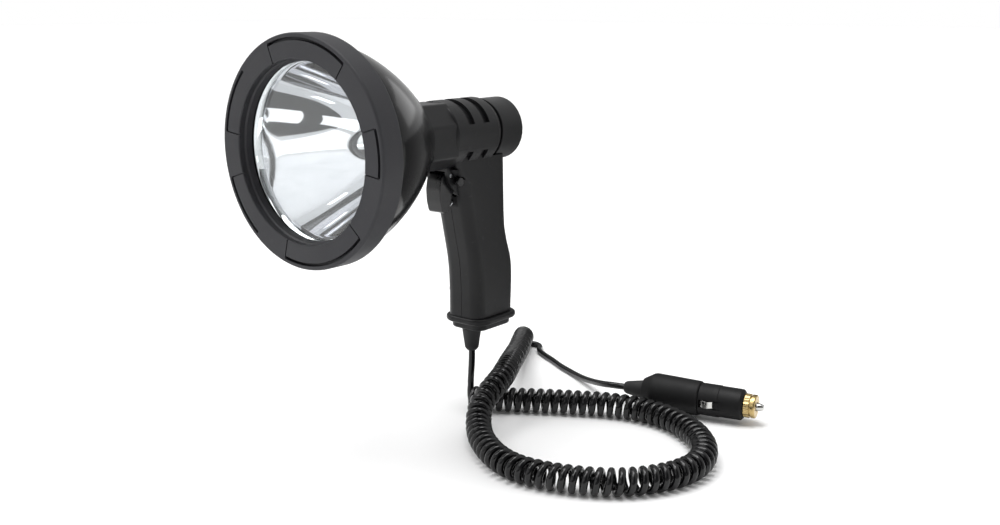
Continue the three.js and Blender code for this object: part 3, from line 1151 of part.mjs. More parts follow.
const bodyStart = PLUG_RELIEF_LENGTH + CLEARANCE;
const bodyEnd = bodyStart + PLUG_BODY_LENGTH;
const sleeveStart = bodyEnd + CLEARANCE;
const sleeveEnd = sleeveStart + PLUG_SLEEVE_LENGTH;
const noseStart = sleeveEnd + CLEARANCE;
const noseEnd = noseStart + NOSE_KNURL_LENGTH + NOSE_WAIST_LENGTH + NOSE_FLANGE_LENGTH;
const threadEnd = noseStart - NOSE_THREAD_LENGTH;
const reliefNeckEnd = PLUG_RELIEF_LENGTH + PLUG_RELIEF_NECK;
const springSeatY = reliefNeckEnd + CLEARANCE + PLUG_BODY_WALL;
const pinBack = threadEnd - CLEARANCE - PIN_FLANGE_LENGTH;
const fuseFront = pinBack - CLEARANCE;
const fuseBack = fuseFront - FUSE_LENGTH;

place(plug, "plug_strain_relief", turned([
  [0, 0], [PLUG_RELIEF_TIP_RADIUS, 0], [PLUG_RELIEF_RADIUS, PLUG_RELIEF_TIP],
  [PLUG_RELIEF_BACK_RADIUS, PLUG_RELIEF_LENGTH], [PLUG_RELIEF_NECK_RADIUS, PLUG_RELIEF_LENGTH],
  [PLUG_RELIEF_NECK_RADIUS, reliefNeckEnd], [0, reliefNeckEnd]], PLUG_SIDES), RUBBER);

// The plug's rear body: a stout tapered handle round the spring
function plugBody() {
  const neckBore = PLUG_RELIEF_NECK_RADIUS + CLEARANCE;
  const hollow = PLUG_BODY_FRONT_RADIUS - PLUG_BODY_WALL;
  return turned([
    [PLUG_BODY_START_RADIUS, bodyStart], [PLUG_BODY_RADIUS, bodyStart + PLUG_SHOULDER],
    [PLUG_BODY_FRONT_RADIUS, bodyEnd - PLUG_BODY_CHAMFER],
    [PLUG_BODY_FRONT_RADIUS - PLUG_BODY_CHAMFER, bodyEnd],
    [hollow, bodyEnd], [hollow, springSeatY], [PLUG_SPRING_WIRE_RADIUS * 2, springSeatY],
    [PLUG_SPRING_WIRE_RADIUS * 2, reliefNeckEnd + CLEARANCE], [neckBore, reliefNeckEnd + CLEARANCE],
    [neckBore, bodyStart]], PLUG_SIDES);
}
place(plug, "plug_body", plugBody(), SHELL_ABS);

// The plug's front sleeve: a round barrel with two side windows, rails ahead of them and a bore for the fuse
const windowStart = sleeveStart + CONTACT_START;
const windowEnd = windowStart + CONTACT_LENGTH + 2 * CLEARANCE;
const pocketFloor = PLUG_SLEEVE_RADIUS - CONTACT_POCKET_DEPTH;
function plugSleeve() {
  const spigotRadius = PLUG_BODY_FRONT_RADIUS - PLUG_BODY_WALL - CLEARANCE;
  const threadBore = NOSE_THREAD_RADIUS + CLEARANCE;
  const collarEnd = sleeveStart + PLUG_SLEEVE_COLLAR;
  const sleeve = turned([
    [FUSE_BORE_RADIUS, sleeveStart - PLUG_SLEEVE_SPIGOT], [spigotRadius, sleeveStart - PLUG_SLEEVE_SPIGOT],
    [spigotRadius, sleeveStart], [PLUG_SLEEVE_RADIUS, sleeveStart], [PLUG_SLEEVE_RADIUS, collarEnd],
    [PLUG_SLEEVE_RADIUS - PLUG_SLEEVE_STEP, collarEnd + PLUG_SLEEVE_STEP],
    [PLUG_SLEEVE_FRONT_RADIUS, sleeveEnd - PLUG_SLEEVE_CHAMFER],
    [PLUG_SLEEVE_FRONT_RADIUS - PLUG_SLEEVE_CHAMFER, sleeveEnd], [threadBore, sleeveEnd],
    [threadBore, threadEnd - CLEARANCE], [FUSE_BORE_RADIUS, threadEnd - CLEARANCE]], PLUG_SIDES);
  const half = CONTACT_HALF_WIDTH + CLEARANCE;
  const cuts = [-1, 1].flatMap((side) => {
    const ends = (inner) => [side * inner, side * (PLUG_SLEEVE_RADIUS + OVERRUN)].sort((a, b) => a - b);
    const floor = PLUG_SLEEVE_RADIUS - PLUG_SLEEVE_STEP - RAIL_DEPTH;
    return [
      block(...ends(pocketFloor), windowStart, windowEnd, -half, half),
      ...[-1, 1].map((edge) => block(...ends(floor), windowEnd - OVERRUN, windowEnd + RAIL_LENGTH,
        edge * half - RAIL_WIDTH / 2, edge * half + RAIL_WIDTH / 2))];
  });
  return cut(sleeve, ...cuts);
}
place(plug, "plug_sleeve", plugSleeve(), SHELL_ABS);

// The side contacts: bowed spring strips in the windows
function sideContact(side) {
  const [from, to] = [windowStart + CLEARANCE, windowEnd - CLEARANCE];
  const low = PLUG_SLEEVE_RADIUS - CONTACT_END_DEPTH;
  const rise = PLUG_SLEEVE_RADIUS + CONTACT_PROUD - low;
  const crown = Array.from({ length: CONTACT_STEPS + 1 }, (_, k) => {
    const share = k / CONTACT_STEPS;
    return [side * (low + rise * Math.sin(Math.PI * share)), THREE.MathUtils.lerp(from, to, share)];
  });
  const inner = crown.map(([x, y]) => [x - side * CONTACT_THICKNESS, y]).reverse();
  const shape = new THREE.Shape([...crown, ...inner].map(([x, y]) => new THREE.Vector2(x, y)));
  const strip = new THREE.ExtrudeGeometry(shape, { depth: 2 * CONTACT_HALF_WIDTH, bevelEnabled: false });
  return solid(strip.translate(0, 0, -CONTACT_HALF_WIDTH));
}
place(plug, "plug_contact_left", sideContact(1), NICKEL);
place(plug, "plug_contact_right", sideContact(-1), NICKEL);

// The brass nose: a knurled band, a waist and a rounded flange, screwed into the sleeve over the pin
function plugNose() {
  const knurlEnd = noseStart + NOSE_KNURL_LENGTH;
  const waistEnd = knurlEnd + NOSE_WAIST_LENGTH;
  const outline = Array.from({ length: 2 * NOSE_KNURLS }, (_, k) => {
    const angle = Math.PI * k / NOSE_KNURLS;
    const radius = NOSE_RADIUS - (k % 2) * NOSE_KNURL_DEPTH;
    return [radius * Math.cos(angle), radius * Math.sin(angle)];
  });
  const knurl = beamPlate(outline, noseStart, knurlEnd);
  const front = turned([
    [0, knurlEnd - OVERRUN], [NOSE_WAIST_RADIUS, knurlEnd - OVERRUN], [NOSE_WAIST_RADIUS, waistEnd],
    [NOSE_FLANGE_RADIUS, waistEnd], [NOSE_FLANGE_RADIUS, noseEnd - NOSE_FLANGE_ROUND],
    [NOSE_FLANGE_RADIUS - NOSE_FLANGE_ROUND / 3, noseEnd - NOSE_FLANGE_ROUND / 3],
    [NOSE_FLANGE_RADIUS - NOSE_FLANGE_ROUND, noseEnd], [0, noseEnd]], PLUG_SIDES);
  const thread = rod(NOSE_THREAD_RADIUS, threadEnd, noseStart + OVERRUN, PLUG_SIDES);
  const bore = rod(NOSE_BORE_RADIUS, threadEnd - OVERRUN, noseEnd + OVERRUN, SMALL_SIDES * 2);
  return cut(joined(knurl, front, thread), bore);
}
place(plug, "plug_nose_ring", plugNose(), BRASS);

// The centre pin: a flange behind the nose and a rounded tip ahead of it
const pinRadius = NOSE_BORE_RADIUS - CLEARANCE;
place(plug, "plug_center_pin", turned([
  [0, pinBack], [PIN_FLANGE_RADIUS, pinBack], [PIN_FLANGE_RADIUS, pinBack + PIN_FLANGE_LENGTH],
  [pinRadius, pinBack + PIN_FLANGE_LENGTH], [pinRadius, noseEnd], [PIN_TIP_RADIUS, noseEnd + PIN_PROUD / 2],
  [PIN_TIP_RADIUS * 3 / 4, noseEnd + PIN_PROUD * 7 / 8], [0, noseEnd + PIN_PROUD]], SMALL_SIDES), NICKEL);
place(plug, "plug_fuse", rod(FUSE_RADIUS, fuseBack, fuseFront, SMALL_SIDES), FUSE_GLASS);
place(plug, "plug_pin_spring", spring(
  PLUG_SPRING_COIL_RADIUS, PLUG_SPRING_WIRE_RADIUS, PLUG_SPRING_TURNS,
  springSeatY + CLEARANCE, fuseBack - CLEARANCE, 0, 0), STEEL);

const part = new THREE.Group();
part.add(lamp);
export default part;
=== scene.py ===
import math

import bmesh
import bpy
from mathutils import Matrix, Vector


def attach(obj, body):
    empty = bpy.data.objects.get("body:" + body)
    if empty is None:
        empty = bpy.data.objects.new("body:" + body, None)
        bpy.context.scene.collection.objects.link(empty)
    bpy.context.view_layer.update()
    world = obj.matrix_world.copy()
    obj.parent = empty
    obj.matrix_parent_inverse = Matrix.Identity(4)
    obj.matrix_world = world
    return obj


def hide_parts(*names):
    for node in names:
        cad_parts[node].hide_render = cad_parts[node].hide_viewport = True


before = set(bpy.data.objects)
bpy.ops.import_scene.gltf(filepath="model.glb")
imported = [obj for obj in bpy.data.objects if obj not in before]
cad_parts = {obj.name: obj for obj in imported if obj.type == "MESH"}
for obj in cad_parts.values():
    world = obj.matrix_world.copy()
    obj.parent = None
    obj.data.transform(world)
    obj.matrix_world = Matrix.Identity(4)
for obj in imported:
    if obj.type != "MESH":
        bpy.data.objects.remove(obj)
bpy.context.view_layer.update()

# The view. The lamp is seen from its front left and a little from above, through a lens of about
# 41 mm on a 36 mm sensor. The factory scene's own lamp, cube and camera are cleared away.
for name in ("Cube", "Light", "Camera"):
    if name in bpy.data.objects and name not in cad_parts:
        bpy.data.objects.remove(bpy.data.objects[name])
scene = bpy.context.scene
VIEW_AZIMUTH, VIEW_ELEVATION = math.radians(39.02), math.radians(12.99)


def placed(name, data):
    """A new object in the scene."""
    thing = bpy.data.objects.new(name, data)
    scene.collection.objects.link(thing)
    return thing


view = placed("view", bpy.data.cameras.new("view"))
view.data.lens = 40.887
view.data.sensor_width = 36
view.data.clip_start = 0.01
view.data.clip_end = 1000
view.location = (0.5102, -0.6037, 0.1727)
view.rotation_euler = (math.pi / 2 - VIEW_ELEVATION, 0, VIEW_AZIMUTH)
scene.camera = view
scene.view_settings.view_transform = "Standard"

# The studio's sheets: a wide floor in matt white paint, a far white backdrop that gives low views
# their ground but lights nothing, and a dim grey panel just behind the lamp that only reflections
# see. The glossy bowl shows the panel as a dark lower half under a pale upper one.
FLOOR_Z, FLOOR_REACH = -0.1159, 400
BACKDROP_REACH, BACKDROP_TOP = 12, 5
PANEL_LEFT, PANEL_RIGHT, PANEL_PLACE, PANEL_TOP = -0.8, 0.2, 0.21, 0.11
SQUARE = ((-1, -1), (1, -1), (1, 1), (-1, 1))


def linear(code):
    """The linear colour of an sRGB hex code."""
    channels = [int(code[i:i + 2], 16) / 255 for i in (1, 3, 5)]
    return [c / 12.92 if c <= 0.04045 else ((c + 0.055) / 1.055) ** 2.4 for c in channels] + [1]


def new_finish(name, inputs):
    """A new material with some of its shader's inputs set, its node tree and its shader."""
    finish = bpy.data.materials.new(name)
    finish.use_nodes = True
    shader = finish.node_tree.nodes["Principled BSDF"]
    for key, value in inputs.items():
        shader.inputs[key].default_value = value
    return finish, finish.node_tree, shader


def backlit_paper(name, glow):
    """Paper lit from behind: it glows evenly and reflects nothing."""
    return new_finish(name, {"Base Color": linear("#000000"), "Specular IOR Level": 0,
                             "Emission Color": linear(glow), "Emission Strength": 1})[0]


def stage_sheet(name, corners, faces, finish, *unseen_by):
    """Adds a sheet of the studio, which the named kinds of ray pass through."""
    mesh = bpy.data.meshes.new(name)
    mesh.from_pydata(corners, [], faces)
    mesh.materials.append(finish)
    sheet = placed(name, mesh)
    for ray in unseen_by:
        setattr(sheet, "visible_" + ray, False)


painted_floor = new_finish("matt_painted_floor", {
    "Base Color": linear("#fafafa"), "Roughness": 0.9, "Specular IOR Level": 0.2})[0]
floor_corners = [(x * FLOOR_REACH, y * FLOOR_REACH, FLOOR_Z) for x, y in SQUARE]
stage_sheet("studio_floor", floor_corners, [(0, 1, 2, 3)], painted_floor)

backdrop_corners = [(x * BACKDROP_REACH, y * BACKDROP_REACH, z)
                    for z in (FLOOR_Z, BACKDROP_TOP) for x, y in SQUARE]
backdrop_faces = [(i, (i + 1) % 4, (i + 1) % 4 + 4, i + 4) for i in range(4)]
white_paper = backlit_paper("backlit_white_paper", "#ffffff")
stage_sheet("white_backdrop", backdrop_corners, backdrop_faces, white_paper, "diffuse", "glossy", "shadow")

panel_corners = [(PANEL_LEFT, PANEL_PLACE, FLOOR_Z), (PANEL_RIGHT, PANEL_PLACE, FLOOR_Z),
                 (PANEL_RIGHT, PANEL_PLACE, PANEL_TOP), (PANEL_LEFT, PANEL_PLACE, PANEL_TOP)]
grey_paper = backlit_paper("dim_grey_paper", "#8c8c8c")
stage_sheet("grey_panel", panel_corners, [(0, 1, 2, 3)], grey_paper,
            "camera", "diffuse", "transmission", "shadow")

# The studio's light: a white tent whose front is dim, a broad roof light that keeps the floor white,
# and soft boxes. The dim front with the bright boxes in it gives the reflector its dark and white
# streaks.
TENT_FRONT = (0.41, -0.89, 0.21)
HEAD_MIDDLE = (0, -0.162, 0.085)


def add_node(tree, kind, settings={}, inputs={}):
    """Adds a node with its settings; an input is a plain value or another node's output."""
    made = tree.nodes.new("ShaderNode" + kind)
    for name, value in settings.items():
        setattr(made, name, value)
    for key, value in inputs.items():
        if isinstance(value, bpy.types.NodeSocket):
            tree.links.new(value, made.inputs[key])
        else:
            made.inputs[key].default_value = value
    return made


def soft_box(name, place, target, width, height, power):
    """A rectangular soft box at a place in metres, turned to a target."""
    lamp = bpy.data.lights.new(name, "AREA")
    lamp.shape = "RECTANGLE"
    lamp.size, lamp.size_y = width, height
    lamp.energy = power
    box = placed(name, lamp)
    box.location = place
    aim = Vector(target) - Vector(place)
    box.rotation_euler = aim.to_track_quat("-Z", "Y").to_euler()
    box.visible_camera = False


scene.world = bpy.data.worlds.new("light_tent")
scene.world.use_nodes = True
tree = scene.world.node_tree
tent = tree.nodes["Background"]
tent.inputs["Color"].default_value = linear("#ffffff")
direction = add_node(tree, "TexCoord").outputs["Generated"]
frontness = add_node(tree, "VectorMath", {"operation": "DOT_PRODUCT"}, {0: direction, 1: TENT_FRONT})
brightness = add_node(tree, "MapRange", {"interpolation_type": "SMOOTHSTEP"}, {
    "Value": frontness.outputs["Value"], "From Min": 0.3, "From Max": 0.62, "To Min": 0.75, "To Max": 0.1})
tree.links.new(brightness.outputs["Result"], tent.inputs["Strength"])
roof = placed("tent_roof", bpy.data.lights.new("tent_roof", "SUN"))
roof.data.energy = 2.3
roof.data.angle = math.radians(50)
roof.rotation_euler = (math.radians(14), math.radians(-20), 0)
soft_box("soft_box_top", (0.2, 0, 1.25), (0, 0, 0), 0.4, 0.3, 3.5)
soft_box("soft_box_left", (-0.67, -1.47, 0.36), HEAD_MIDDLE, 1.05, 0.78, 2.4)
soft_box("soft_box_high", (0.13, -1.24, 1.13), HEAD_MIDDLE, 0.68, 0.26, 1)
soft_box("soft_box_front", (0.16, -1.54, 0.63), HEAD_MIDDLE, 0.46, 0.52, 1.3)
soft_box("soft_box_low", (1.46, -1.52, 0.33), HEAD_MIDDLE, 0.34, 0.18, 0.5)
soft_box("soft_box_back", (-0.1, 1.39, 0.49), HEAD_MIDDLE, 0.74, 0.42, 1.2)

# The bezel: a deep moulded ring of black ABS with a fine spark-eroded grain, pushed over the bowl's
# rim. Arc-shaped slots lie behind its lip, and eight shallow seams cross its face between them.
# All pieces are drawn in millimetres from the middle of the head's front, with the beam along -Y.
LAMP_FRONT = Vector((0, -162, 85))
FIT = 0.3
OVERRUN = 1
HEAD_RADIUS, HEAD_SIDES = 70, 192
BEZEL_DEPTH = 16
SKIRT_WALL = 3.4
MOUTH_RADIUS, MOUTH_DEPTH, MOUTH_STEP = 55, 4.2, 0.9
LIP_RADIUS = 53.3
GLASS_RADIUS, GLASS_FRONT = 58, 9.2
RIM_FRONT = 11.5
SLOT_RADII, SLOT_DEPTH = (65.55, 67.45), 3.4
SLOT_ARCS = ((53, 111), (136, 172.5), (197.5, 232), (256, 318), (352.5, 376.5))
SEAM_ANGLES = (53, 111, 172.5, 197.5, 256, 318, 352.5, 376.5)
SEAM_WIDTH, SEAM_DEPTH = 0.8, 1.1
NEARLY_STRAIGHT, NEARLY_HALF = 168, 0.45
# A mix node repeats its socket names for each kind of data, so its colours go by number.
MIX_FIRST, MIX_SECOND, MIXED = 6, 7, 2


def moulded(name, dark, pale, cloud_mm, rough, grain_mm, grain_depth_mm, ior, scuffs):
    """A moulded or extruded plastic or rubber: cloudy colour, uneven gloss, a grain and a few scuffs."""
    finish, tree, shader = new_finish(name, {"IOR": ior})
    place = add_node(tree, "TexCoord").outputs["Object"]
    cloud = add_node(tree, "TexNoise", {}, {
        "Vector": place, "Scale": 1000 / cloud_mm, "Detail": 4}).outputs["Fac"]
    tint = add_node(tree, "Mix", {"data_type": "RGBA"}, {
        "Factor": cloud, MIX_FIRST: linear(dark), MIX_SECOND: linear(pale)}).outputs[MIXED]
    rub = add_node(tree, "TexNoise", {}, {
        "Vector": place, "Scale": 5000 / cloud_mm, "Detail": 9, "Roughness": 0.72}).outputs["Fac"]
    mark = add_node(tree, "MapRange", {}, {
        "Value": rub, "From Min": 0.6, "From Max": 0.72, "To Max": scuffs}).outputs["Result"]
    worn = add_node(tree, "Mix", {"data_type": "RGBA"}, {
        "Factor": mark, MIX_FIRST: tint, MIX_SECOND: linear("#8c8c90")}).outputs[MIXED]
    tree.links.new(worn, shader.inputs["Base Color"])
    gloss = add_node(tree, "MapRange", {}, {
        "Value": cloud, "From Min": 0.3, "From Max": 0.7, "To Min": rough[0], "To Max": rough[1]})
    dulled = add_node(tree, "Math", {"operation": "ADD"}, {0: gloss.outputs["Result"], 1: mark})
    tree.links.new(dulled.outputs["Value"], shader.inputs["Roughness"])
    grain = add_node(tree, "TexNoise", {}, {
        "Vector": place, "Scale": 1000 / grain_mm, "Detail": 2}).outputs["Fac"]
    bump = add_node(tree, "Bump", {}, {"Height": grain, "Strength": 0.6, "Distance": grain_depth_mm / 1000})
    tree.links.new(bump.outputs["Normal"], shader.inputs["Normal"])
    return finish


def eased(outline, ease, steps=4):
    """A closed outline with its corners off the axis rounded by ease mm, or by their third number."""
    soft = []
    for i, corner in enumerate(outline):
        here, before = Vector(corner[:2]), Vector(outline[i - 1][:2])
        after = Vector(outline[(i + 1) % len(outline)][:2])
        back, on = before - here, after - here
        amount = corner[2] if len(corner) > 2 else ease
        if here.x <= 0 or amount == 0 or back.angle(on) > math.radians(NEARLY_STRAIGHT):
            soft.append(here)
            continue
        reach = min(amount, NEARLY_HALF * back.length, NEARLY_HALF * on.length)
        start, end = here + reach * back.normalized(), here + reach * on.normalized()
        for k in range(steps + 1):
            t = k / steps
            soft.append((1 - t) ** 2 * start + 2 * t * (1 - t) * here + t ** 2 * end)
    return soft


def turned(outline, sides):
    """A closed outline of (radius, place) turned about the Y axis."""
    made = bmesh.new()
    rings = []
    for corner in outline:
        radius, along = Vector(corner)
        turns = [2 * math.pi * i / sides for i in range(sides)] if radius > 1e-6 else [0]
        rings.append([made.verts.new((radius * math.cos(a), along, radius * math.sin(a))) for a in turns])
    for near, far in zip(rings, rings[1:] + rings[:1]):
        if len(near) + len(far) == 2:
            continue
        for i in range(sides):
            j = i + 1
            corners = (near[i % len(near)], near[j % len(near)], far[j % len(far)], far[i % len(far)])
            made.faces.new(list(dict.fromkeys(corners)))
    bmesh.ops.recalc_face_normals(made, faces=made.faces)
    return made


def spun(made, degrees):
    """Turns a mesh about the Y axis."""
    turn = Matrix.Rotation(math.radians(degrees), 3, "Y")
    bmesh.ops.rotate(made, verts=made.verts, cent=(0, 0, 0), matrix=turn)
    return made


def along_beam(u, v, w):
    """Lays an outline across the beam and draws it out along the beam."""
    return (u, w, v)


def across(u, v, w):
    """Lays an outline on the lamp's side and draws it out across the lamp."""
    return (w, u, v)


def extruded(outline, start, end, lay):
    """A closed outline drawn out between two places, in the way that lay gives."""
    made = bmesh.new()
    near, far = ([made.verts.new(lay(u, v, w)) for u, v in outline] for w in (start, end))
    made.faces.new(near)
    made.faces.new(far)
    for i in range(len(near)):
        j = (i + 1) % len(near)
        made.faces.new((near[i], near[j], far[j], far[i]))
    bmesh.ops.recalc_face_normals(made, faces=made.faces)
    return made


def oblong(u0, u1, v0, v1):
    """The four corners of a rectangle."""
    return [(u0, v0), (u1, v0), (u1, v1), (u0, v1)]


def arc_bar(inner, outer, front, back, start, end):
    """A bar bent round the beam axis, for cutting slots and grooves."""
    count = max(2, round((end - start) / 2))
    angles = [math.radians(start + (end - start) * k / count) for k in range(count + 1)]
    outline = [(outer * math.cos(a), outer * math.sin(a)) for a in angles]
    outline += [(inner * math.cos(a), inner * math.sin(a)) for a in reversed(angles)]
    return extruded(outline, front, back, along_beam)


def set_down(made, name="blank"):
    """Writes a working mesh to the file, and frees it."""
    mesh = bpy.data.meshes.new(name)
    made.to_mesh(mesh)
    made.free()
    return mesh


def together(*parts):
    """Several closed meshes as one."""
    whole = bmesh.new()
    for part in parts:
        mesh = set_down(part)
        whole.from_mesh(mesh)
        bpy.data.meshes.remove(mesh)
    return whole


def carved(base, *steps):
    """Joins, cuts or keeps one closed mesh by others, with Blender's exact solver."""
    blanks = [placed("blank", set_down(part)) for part in [base] + [tool for _, tool in steps]]
    for (operation, _), tool in zip(steps, blanks[1:]):
        cut = blanks[0].modifiers.new("step", "BOOLEAN")
        cut.operation, cut.solver, cut.object = operation, "EXACT", tool
    result = blanks[0].evaluated_get(bpy.context.evaluated_depsgraph_get())
    done = bmesh.new()
    done.from_mesh(result.to_mesh())
    for blank in blanks:
        mesh = blank.data
        bpy.data.objects.remove(blank)
        bpy.data.meshes.remove(mesh)
    return done


def fitted(name, made, finish, slot, body, *nodes, crease=30):
    """Sets a mesh drawn in lamp millimetres in its place as a piece that rides on a body."""
    to_metres = Matrix.Scale(0.001, 4) @ Matrix.Translation(LAMP_FRONT)
    bmesh.ops.transform(made, matrix=to_metres, verts=made.verts)
    mesh = set_down(made, name)
    mesh.materials.append(finish)
    mesh.shade_smooth()
    mesh.set_sharp_from_angle(angle=math.radians(crease))
    shown = placed(name, mesh)
    shown.modifiers.new("even_shading", "WEIGHTED_NORMAL").keep_sharp = True
    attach(shown, body)
    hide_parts(*nodes)
    return shown


seat_front, seat_back = GLASS_FRONT - FIT, RIM_FRONT - FIT
skirt_radius = HEAD_RADIUS - SKIRT_WALL
bezel_ring = turned(eased([
    (LIP_RADIUS, seat_front, 0.2), (GLASS_RADIUS + FIT, seat_front, 0), (GLASS_RADIUS + FIT, seat_back, 0),
    (skirt_radius, seat_back, 0), (skirt_radius, BEZEL_DEPTH, 0.3), (HEAD_RADIUS, BEZEL_DEPTH, 0.6),
    (HEAD_RADIUS, 0, 1.7), (MOUTH_RADIUS, 0, 0.9), (MOUTH_RADIUS, MOUTH_DEPTH, 0.3),
    (MOUTH_RADIUS - MOUTH_STEP, MOUTH_DEPTH + MOUTH_STEP, 0.3)], 0.3), HEAD_SIDES)
slot_cuts = together(*[arc_bar(*SLOT_RADII, -OVERRUN, SLOT_DEPTH, *arc) for arc in SLOT_ARCS])
seam_outline = oblong(MOUTH_RADIUS - OVERRUN, sum(SLOT_RADII) / 2, -SEAM_WIDTH / 2, SEAM_WIDTH / 2)
seam_cuts = together(*[spun(extruded(seam_outline, -OVERRUN, SEAM_DEPTH, along_beam), -angle)
                       for angle in SEAM_ANGLES])
bezel_ring = carved(bezel_ring, ("DIFFERENCE", slot_cuts), ("DIFFERENCE", seam_cuts))
# The grain spreads the light, so the ring looks matt charcoal. It is 0.6 mm in place of about
# 0.1 mm, because a finer one doesn't show at this size.
grained_abs = moulded("grained_charcoal_abs", "#252528", "#2c2c30", 30, (0.5, 0.64), 0.6, 0.02, 1.42, 0.06)
fitted("bezel", bezel_ring, grained_abs, "bezel_plastic", "lamp", "bezel_ring")

# The front glass: a flat disc of clear tempered glass with a ground edge, held against the bezel's
# step. It is polished, so all that shows of it is the light it reflects and a few specks of dust.
GLASS_BACK = GLASS_FRONT + 2.8
DUST_MM = 2.5
front_glass = turned(eased(oblong(0, GLASS_RADIUS, GLASS_FRONT, GLASS_BACK), 0.4), HEAD_SIDES)
tempered_glass, tree, shader = new_finish("clear_tempered_glass", {
    "Base Color": linear("#fbfefd"), "Transmission Weight": 1, "IOR": 1.5})
place = add_node(tree, "TexCoord").outputs["Object"]
specks = add_node(tree, "TexNoise", {}, {
    "Vector": place, "Scale": 1000 / DUST_MM, "Detail": 8, "Roughness": 0.8})
haze = add_node(tree, "MapRange", {}, {
    "Value": specks.outputs["Fac"], "From Min": 0.7, "From Max": 0.78, "To Max": 0.04})
tree.links.new(haze.outputs["Result"], shader.inputs["Roughness"])
fitted("front_glass", front_glass, tempered_glass, "lens_glass", "lamp", "lens")

# The gasket: a flat ring of black EPDM rubber squeezed between the glass and the reflector's flange.
# Moulded rubber is dull and shows no reflections.
GASKET_INNER = 54.8
FLANGE_FRONT, FLANGE_BACK = 14, 15.5
gasket_outline = oblong(GASKET_INNER, GLASS_RADIUS, GLASS_BACK + FIT, FLANGE_FRONT - FIT)
gasket = turned(eased(gasket_outline, 0.5), HEAD_SIDES)
black_rubber = moulded("moulded_black_rubber", "#101011", "#171719", 8, (0.6, 0.78), 0.5, 0.03, 1.52, 0.05)
fitted("gasket", gasket, black_rubber, "rubber_black", "lamp", "lens_gasket")

# The reflector: a thin moulded parabola coated with aluminium in a vacuum and lacquered. It is close
# to a mirror, with the slight waves that the moulding leaves, and its mouth ends in a bright flare.
MIRROR_RADIUS, APEX_PLACE = 52.5, 82
EMITTER_HOLE = 10
DISH_WALL = (1.3, 0.7)
DISH_STEPS, REAR_REACH = 40, 51
WAVE_MM = 14
parabola = MIRROR_RADIUS ** 2 / (APEX_PLACE - FLANGE_FRONT)
mirror_radii = [EMITTER_HOLE + (MIRROR_RADIUS - EMITTER_HOLE) * k / DISH_STEPS
                for k in range(DISH_STEPS + 1)]
mirror_side = [(r, APEX_PLACE - r * r / parabola) for r in reversed(mirror_radii)]
rear_side = [(r + DISH_WALL[0], APEX_PLACE - r * r / parabola + DISH_WALL[1])
             for r in mirror_radii if r < REAR_REACH]
flange = [(53.9, FLANGE_BACK), (GLASS_RADIUS, FLANGE_BACK), (GLASS_RADIUS, FLANGE_FRONT),
          (54.5, FLANGE_FRONT), (54.5, 12.6), (54.3, 12.4), (54, 12.5)]
dish = turned(mirror_side + rear_side + flange, HEAD_SIDES)
vacuum_aluminium, tree, shader = new_finish("vacuum_coated_aluminium", {"Metallic": 1})
place = add_node(tree, "TexCoord").outputs["Object"]
waves = add_node(tree, "TexNoise", {}, {"Vector": place, "Scale": 1000 / WAVE_MM, "Detail": 3}).outputs["Fac"]
coat = add_node(tree, "Mix", {"data_type": "RGBA"}, {
    "Factor": waves, MIX_FIRST: linear("#e4e4e8"), MIX_SECOND: linear("#f0f0f3")})
tree.links.new(coat.outputs[MIXED], shader.inputs["Base Color"])
lacquer = add_node(tree, "MapRange", {}, {"Value": waves, "To Min": 0.02, "To Max": 0.06})
tree.links.new(lacquer.outputs["Result"], shader.inputs["Roughness"])
bump = add_node(tree, "Bump", {}, {"Height": waves, "Strength": 0.05, "Distance": 0.0003})
tree.links.new(bump.outputs["Normal"], shader.inputs["Normal"])
fitted("mirror_dish", dish, vacuum_aluminium, "reflector_mirror", "lamp", "reflector", crease=40)

# The bowl: the head's rear housing, moulded in glossy black ABS with a polished outside. Inside it
# has a shelf for the reflector, and behind it a spigot with a catch that the barrel closes round.
BOWL_MOUTH, BOWL_THROAT, BOWL_BACK, BOWL_CURVE = 65.5, 23.2, 93.5, 1.6
BOWL_WALL, BOWL_FLOOR, BOWL_STEPS = 2.6, 90.5, 36
HOLLOW_FRONT, HOLLOW_BACK = 19, 87
SHELF_RADIUS, SHELF_BACK = 54.6, 17.8
SPIGOT_RADIUS, SPIGOT_BORE, SPIGOT_END = 18.8, 16.3, 103
CATCH_RADIUS, CATCH_FRONT, CATCH_BACK = 20.5, 98.7, 101.3


def bowl_radius(place):
    """The bowl's outside radius at a place along the beam."""
    share = max((place - BEZEL_DEPTH) / (BOWL_BACK - BEZEL_DEPTH), 0)
    return BOWL_THROAT + (BOWL_MOUTH - BOWL_THROAT) * (1 - share ** BOWL_CURVE)


